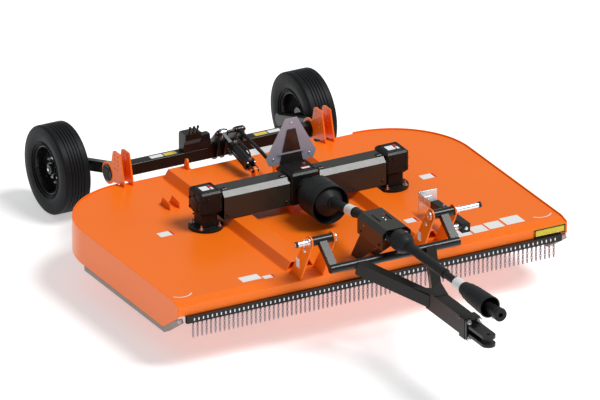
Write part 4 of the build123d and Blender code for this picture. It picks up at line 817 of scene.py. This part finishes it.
# ---- Wheels: ribbed rubber tyres with raised rings on their sidewalls, and dished
# steel rims painted black, with bright bolts, a hub cap and a valve stem.
tread = coated("tyre_rubber", (0.010, 0.011, 0.013), 0.46, (0.006, 0.007, 0.008), scale=22, peel=0.25,
               dust=0.02, specular=0.12)
softened("tyre_left", 0.0022, tread)
softened("tyre_right", 0.0022, tread)
rim_paint = coated("rim_paint", (0.008, 0.008, 0.008), 0.24, (0.005, 0.005, 0.005), scratches=0.06,
                   dust=0.03, coat=0.4, specular=0.25)
softened("rim_left", 0.0015, rim_paint)
softened("rim_right", 0.0015, rim_paint)
wheel_x, wheel_y, wheel_z = 1.009, 2.217, 0.330
for side, word in ((1, "left"), (-1, "right")):
    centre = Vector((side * wheel_x, wheel_y, wheel_z))
    rubber = bmesh.new()
    for face in (-1, 1):
        for radius, reach, tall in ((0.188, 0.0985, 0.0030), (0.205, 0.1085, 0.0015),
                                    (0.290, 0.1065, 0.0020), (0.300, 0.1065, 0.0020)):
            add_turned(rubber, centre, (face, 0, 0),
                       ((radius - 0.003, reach - 0.006), (radius - 0.002, reach + tall),
                        (radius + 0.002, reach + tall), (radius + 0.003, reach - 0.006)), sides=72)
        for a in range(48):
            turn = math.tau * (a + 0.5) / 48
            out = Vector((0, math.cos(turn), math.sin(turn)))
            spot = centre + out * 0.3060 + Vector((face * 0.0965, 0, 0))
            add_turned(rubber, spot, out + Vector((face * 1.1, 0, 0)),
                       ((0, -0.004), (0.0052, -0.004), (0.0040, 0.0042), (0, 0.0042)), sides=4, phase=turn)
    joined(f"tyre_trim_{word}", rubber, node[f"tyre_{word}"]["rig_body"], tread)
    metal = bmesh.new()
    for a in range(8):
        turn = math.tau * (a + 0.25) / 8
        spot = centre + Vector((side * 0.0030, 0.125 * math.cos(turn), 0.125 * math.sin(turn)))
        add_bolt(metal, spot, (side, 0, 0), 0.019, height=0.009, slot=1, stub=0.006)
    for a in range(5):
        turn = math.tau * a / 5
        spot = centre + Vector((side * 0.0275, 0.078 * math.cos(turn), 0.078 * math.sin(turn)))
        add_bolt(metal, spot, (side, 0, 0), 0.021, height=0.004, slot=1, washer=False, stub=0.010)
    add_turned(metal, centre + Vector((side * 0.0455, 0, 0)), (side, 0, 0),
               ((0.0215, 0), (0.040, 0), (0.040, 0.016), (0.034, 0.026), (0.016, 0.030), (0.0215, 0.004)),
               slot=0, sides=36)
    add_turned(metal, centre + Vector((side * 0.073, 0, 0)), (side, 0, 0),
               ((0, 0), (0.012, 0), (0.012, 0.006), (0.006, 0.009), (0, 0.009)), slot=1, sides=16)
    stem_turn = 2.0
    stem = centre + Vector((side * 0.020, 0.150 * math.cos(stem_turn), 0.150 * math.sin(stem_turn)))
    add_turned(metal, stem, (side, 0, 0),
               ((0, 0), (0.0045, 0), (0.0045, 0.034), (0.0035, 0.036), (0, 0.036)), slot=2, sides=12)
    for a in range(5):
        turn = math.tau * (a + 0.5) / 5
        out = Vector((0, math.cos(turn), math.sin(turn)))
        add_turned(metal, centre + out * 0.112, (side, 0, 0),
                   ((0.008, 0.0105), (0.013, 0.0105), (0.014, 0.0135), (0.007, 0.0135)), slot=0, sides=20)
    joined(f"rim_trim_{word}", metal, node[f"rim_{word}"]["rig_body"], (rim_paint, bright, plastic))

# ---- Lift linkage: levers on the axle tube, and the hydraulic cylinder with its
# chromed rod, tie-rod nuts, gland, two ports and the short hose between them.
for name, edge in (("lift_levers", 0.002), ("valve_box", 0.002), ("depth_rod", 0.001),
                   ("lift_barrel", 0.0015)):
    softened(name, edge, black)
chrome = coated("chrome_rod", (0.75, 0.75, 0.77), 0.10, (0.68, 0.68, 0.70), scale=30, metallic=1.0,
                scratches=0.1, dust=0.02)
softened("lift_rod", 0.0008, chrome, segments=1)
lift_base = Vector((-0.060, 0.983, 0.593))
lift_top = Vector((-0.060, 1.473, 0.693))
lift_way = (lift_top - lift_base).normalized()
lift_side = Vector((1, 0, 0))
lift_up = lift_side.cross(lift_way)
trim = bmesh.new()
for u in (-0.029, 0.029):
    for w in (-0.029, 0.029):
        spot = lift_base + lift_side * u + lift_up * w
        add_bolt(trim, spot + lift_way * 0.3295, lift_way, 0.013, height=0.008, slot=1, stub=0.008)
        add_bolt(trim, spot + lift_way * 0.0605, -lift_way, 0.013, height=0.008, slot=1)
add_turned(trim, lift_base + lift_way * 0.3300, lift_way,
           ((0.0165, 0), (0.027, 0), (0.027, 0.010), (0.022, 0.014), (0.0165, 0.014)), slot=0, sides=32)
for reach in (0.079, 0.311):
    port = lift_base + lift_way * reach + lift_up * 0.0375
    add_bolt(trim, port, lift_up, 0.020, height=0.012, slot=1, washer=False)
    add_turned(trim, port + lift_up * 0.012, lift_up, ((0, 0), (0.0075, 0), (0.0075, 0.012), (0, 0.012)),
               slot=1, sides=16)
joined("cylinder_trim", trim, node["lift_barrel"]["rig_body"], (black, bright))


def hose(name, points, radius, body, material):
    """Smooth rubber hose or cable swept along guide points."""
    curve = bpy.data.curves.new(name, "CURVE")
    curve.dimensions = "3D"
    curve.bevel_depth = radius
    curve.bevel_resolution = 3
    curve.use_fill_caps = True
    line = curve.splines.new("NURBS")
    line.points.add(len(points) - 1)
    for spot, target in zip(points, line.points):
        target.co = (*spot, 1)
    line.use_endpoint_u = True
    line.order_u = 4
    line.resolution_u = 6
    bent = bpy.data.objects.new(name, curve)
    mesh = bpy.data.meshes.new_from_object(bent)
    bpy.data.objects.remove(bent)
    shape = bmesh.new()
    shape.from_mesh(mesh)
    bmesh.ops.remove_doubles(shape, verts=shape.verts, dist=0.00001)
    return joined(name, shape, body, material, smooth=60)


rubber_hose = coated("hose_rubber", (0.022, 0.022, 0.022), 0.55, (0.014, 0.014, 0.014), scale=60, peel=0.3)
barrel_body = node["lift_barrel"]["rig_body"]
low_port = lift_base + lift_way * 0.079 + lift_up * 0.060
high_port = lift_base + lift_way * 0.311 + lift_up * 0.060
hose("cylinder_hose", (low_port, low_port + lift_up * 0.03, low_port + lift_up * 0.040 + lift_way * 0.05,
     low_port + lift_up * 0.026 + lift_way * 0.12, high_port + lift_up * 0.035 - lift_way * 0.04,
     high_port + lift_up * 0.030, high_port), 0.0065, barrel_body, rubber_hose)

# ---- Lift pin: the long pin through the levers, with a thrust ring and a cotter at
# each end.
trim = bmesh.new()
lift_y, lift_z = lift_top.y, lift_top.z
for x in (-0.104, 0.119):
    add_turned(trim, (x, lift_y, lift_z - 0.018), (0, 0, 1),
               ((0, 0), (0.003, 0), (0.003, 0.036), (0, 0.036)), slot=1, sides=10)
for x in (-0.085, 0.100):
    add_turned(trim, (x, lift_y, lift_z), (1, 0, 0),
               ((0.0124, -0.003), (0.022, -0.003), (0.022, 0.003), (0.0124, 0.003)), slot=1, sides=28)
joined("lift_pin_trim", trim, node["lift_levers"]["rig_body"], (black, bright))

# ---- Depth rod: a threaded steel rod that runs beside the cylinder, with a large
# stop nut on it.
trim = bmesh.new()
rod_top = Vector((0.075, lift_y, lift_z))
rod_way = Vector((0, -0.600, -0.080)).normalized()
for n in range(90):
    add_turned(trim, rod_top + rod_way * (0.400 + n * 0.004), rod_way,
               ((0.0138, -0.0016), (0.0152, 0), (0.0138, 0.0016)), slot=0, sides=14)
add_bolt(trim, rod_top + rod_way * 0.545, rod_way, 0.036, height=0.016, slot=1)
joined("depth_thread", trim, node["depth_rod"]["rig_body"], (black, bright))

# ---- Valve housing: a painted steel box by the axle tube, with three levers on top
# and four plated fittings on its left side.
trim = bmesh.new()
box_low, box_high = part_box("valve_box")
for n in range(3):
    x = box_low.x + 0.035 + n * 0.032
    base = Vector((x, 1.500, 0.7275))
    add_turned(trim, base, (0, -0.25, 1),
               ((0, 0), (0.011, 0), (0.011, 0.010), (0.006, 0.014), (0.006, 0.040), (0.0095, 0.046),
                (0.0095, 0.058), (0, 0.062)), slot=0, sides=18)
for n in range(4):
    add_bolt(trim, (box_high.x - 0.0005, 1.535 + 0.018 * n, 0.600 + 0.012 * (n % 2)), (1, 0, 0), 0.014,
             height=0.010, slot=1, stub=0.008)
joined("valve_trim", trim, node["valve_box"]["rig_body"], (black, bright))

# ---- Parking jack: a square tube stowed along the left bracket with a plated leg
# sliding in it. A plastic cap, a bolt and a locking pin are added.
softened("jack_outer", 0.003, black)
softened("jack_leg", 0.0015, bright)
jack_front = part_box("jack_outer")[0].y
jack_x, jack_z = 0.715, 0.653
cap_half = 0.033
trim = bmesh.new()
add_block(trim, (jack_x - cap_half, jack_front - 0.004, jack_z - cap_half),
          (jack_x + cap_half, jack_front + 0.001, jack_z + cap_half))
add_bolt(trim, (jack_x, jack_front - 0.003, jack_z), (0, -1, 0), 0.018, height=0.010, slot=1)
add_turned(trim, (jack_x, -0.420, 0.615), (0, 0, 1), ((0, 0), (0.008, 0), (0.008, 0.092), (0, 0.092)),
           slot=1, sides=16)
joined("jack_trim", trim, node["jack_outer"]["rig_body"], (plastic, bright))

# ---- Slow-vehicle marker: a pale sheet frame round a dark glossy panel, with a
# ledge across it and three bolts, on a folded bar.
grey = coated("grey_sheet", (0.40, 0.39, 0.46), 0.36, (0.30, 0.29, 0.36), scale=7, metallic=0.25, dust=0.1)
smoked = coated("smoked_panel", (0.020, 0.017, 0.015), 0.16, (0.010, 0.009, 0.008), scale=9, coat=0.6,
                dust=0.12)
softened("marker_plate", 0.001, grey, segments=1)
softened("marker_bar", 0.0015, grey)
marker_low, marker_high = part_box("marker_plate")


def add_plate(shape, outline, y, thick, slot=0):
    """Flat plate facing -Y with the given x, z corners."""
    near = [shape.verts.new((x, y, z)) for x, z in outline]
    far = [shape.verts.new((x, y + thick, z)) for x, z in outline]
    faces = [shape.faces.new(near), shape.faces.new(far[::-1])]
    for n in range(len(outline)):
        m = (n + 1) % len(outline)
        faces.append(shape.faces.new((near[m], near[n], far[n], far[m])))
    for face in faces:
        face.material_index = slot


trim = bmesh.new()
face_y = marker_low.y
front_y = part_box("marker_bar")[0].y
panel_foot, panel_head = marker_low.z + 0.002, marker_high.z - 0.085
panel = ((-0.094, panel_foot), (0.094, panel_foot), (0.032, panel_head), (-0.032, panel_head))
add_plate(trim, panel, front_y - 0.0022, face_y - front_y + 0.0020, slot=0)
add_plate(trim, ((-0.110, marker_low.z + 0.078), (0.110, marker_low.z + 0.078), (0.107, marker_low.z + 0.088),
                 (-0.107, marker_low.z + 0.088)), front_y - 0.006, 0.0060, slot=1)
for x, z in ((-0.145, 0.05), (0.145, 0.05), (0, 0.310)):
    add_bolt(trim, (x, face_y, marker_low.z + z), (0, -1, 0), 0.012, height=0.006, slot=2)
joined("marker_trim", trim, node["marker_plate"]["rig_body"], (smoked, grey, bright))

# ---- Front reflector: a pressed amber lens with rows of small prisms, in a thin
# black plastic frame.
amber = coated("amber_prism", (0.80, 0.66, 0.02), 0.22, (0.62, 0.48, 0.01), scale=90, coat=0.8)
softened("reflector", 0.0012, amber)
lens_low, lens_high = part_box("reflector")
trim = bmesh.new()
mid_x, mid_z = (lens_low.x + lens_high.x) / 2, (lens_low.z + lens_high.z) / 2
half_x, half_z = (lens_high.x - lens_low.x) / 2, (lens_high.z - lens_low.z) / 2
strip = 0.008
for low_x, high_x, low_z, high_z in (
    (-half_x, half_x, half_z - strip, half_z),
    (-half_x, half_x, -half_z, strip - half_z),
    (-half_x, strip - half_x, -half_z, half_z),
    (half_x - strip, half_x, -half_z, half_z),
):
    low_x, high_x = mid_x + low_x, mid_x + high_x
    low_z, high_z = mid_z + low_z, mid_z + high_z
    add_plate(trim, ((low_x, low_z), (high_x, low_z), (high_x, high_z), (low_x, high_z)),
              lens_low.y - 0.0012, 0.0025)
for n in range(38):
    for m in range(6):
        x, z = mid_x - 0.110 + n * 0.0059, mid_z - 0.0170 + m * 0.0064
        add_turned(trim, (x, lens_low.y + 0.0032, z), (0, -1, 0), ((0, 0), (0.0030, 0), (0, 0.0020)),
                   slot=1, sides=6)
joined("reflector_trim", trim, node["reflector"]["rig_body"], (plastic, amber))

# ---- Safety films: thin printed films on the deck, the axle tube and the brackets,
# all left blank, some with a coloured band. Two arcs lie at the deck's front corners.
films = bmesh.new()
film_z = 0.513
band_rise = 0.0009
for x, y, long, wide, tint in (
    (1.065, 0.453, 0.110, 0.075, 1), (-1.065, 0.453, 0.110, 0.075, 1), (-0.900, -0.507, 0.150, 0.085, 0),
    (-0.770, -0.547, 0.085, 0.050, 1), (0.800, -0.537, 0.115, 0.110, 0), (0.935, -0.530, 0.115, 0.110, 0),
    (1.070, -0.520, 0.120, 0.110, 0), (1.225, -0.505, 0.145, 0.125, 0),
):
    add_block(films, (x - long / 2, y - wide / 2, film_z), (x + long / 2, y + wide / 2, film_z + film_rise),
              slot=0)
    if tint:
        add_block(films, (x + long / 2 - 0.016, y - wide / 2, film_z + film_rise),
                  (x + long / 2, y + wide / 2, film_z + band_rise), slot=1)
crown_z = 0.577
add_block(films, (0.472, -0.330, crown_z), (0.566, -0.262, crown_z + film_rise), slot=0)
add_block(films, (0.548, -0.330, crown_z + film_rise), (0.566, -0.262, crown_z + band_rise), slot=1)
for side in (-1, 1):
    centre = Vector((side * 1.455, -0.480, film_z))
    spots = []
    for n in range(13):
        turn = math.radians(-35 - 9 * n)
        spots.append([films.verts.new(centre + Vector((reach * math.cos(turn), reach * math.sin(turn),
                     rise))) for reach, rise in ((0.086, 0.0), (0.094, 0.0), (0.094, film_rise),
                     (0.086, film_rise))])
    films.faces.new(spots[0])
    films.faces.new(spots[-1][::-1])
    for near, far in zip(spots, spots[1:]):
        for a in range(4):
            b = (a + 1) % 4
            films.faces.new((near[b], near[a], far[a], far[b]))
joined("deck_films", films, "deck", (white_film, red_film))
yellow_film = coated("yellow_film", (0.80, 0.62, 0.10), 0.38, (0.70, 0.52, 0.08), scale=8, scratches=0.05,
                     dust=0.05)
films = bmesh.new()
for x, tint in ((-0.55, 0), (-0.44, 1), (0.30, 1), (0.41, 0)):
    add_block(films, (x - 0.05, 1.540, 0.5778), (x + 0.05, 1.586, 0.5786), slot=tint)
joined("axle_films", films, node["rock_shaft"]["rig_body"], (white_film, yellow_film))
films = bmesh.new()
for x, face in ((-0.5865, -1), (0.3935, -1)):
    low_x, high_x = sorted((x, x + face * film_rise))
    add_block(films, (low_x, -0.668, 0.585), (high_x, -0.618, 0.655), slot=0)
joined("bracket_films", films, "deck", (white_film, red_film))
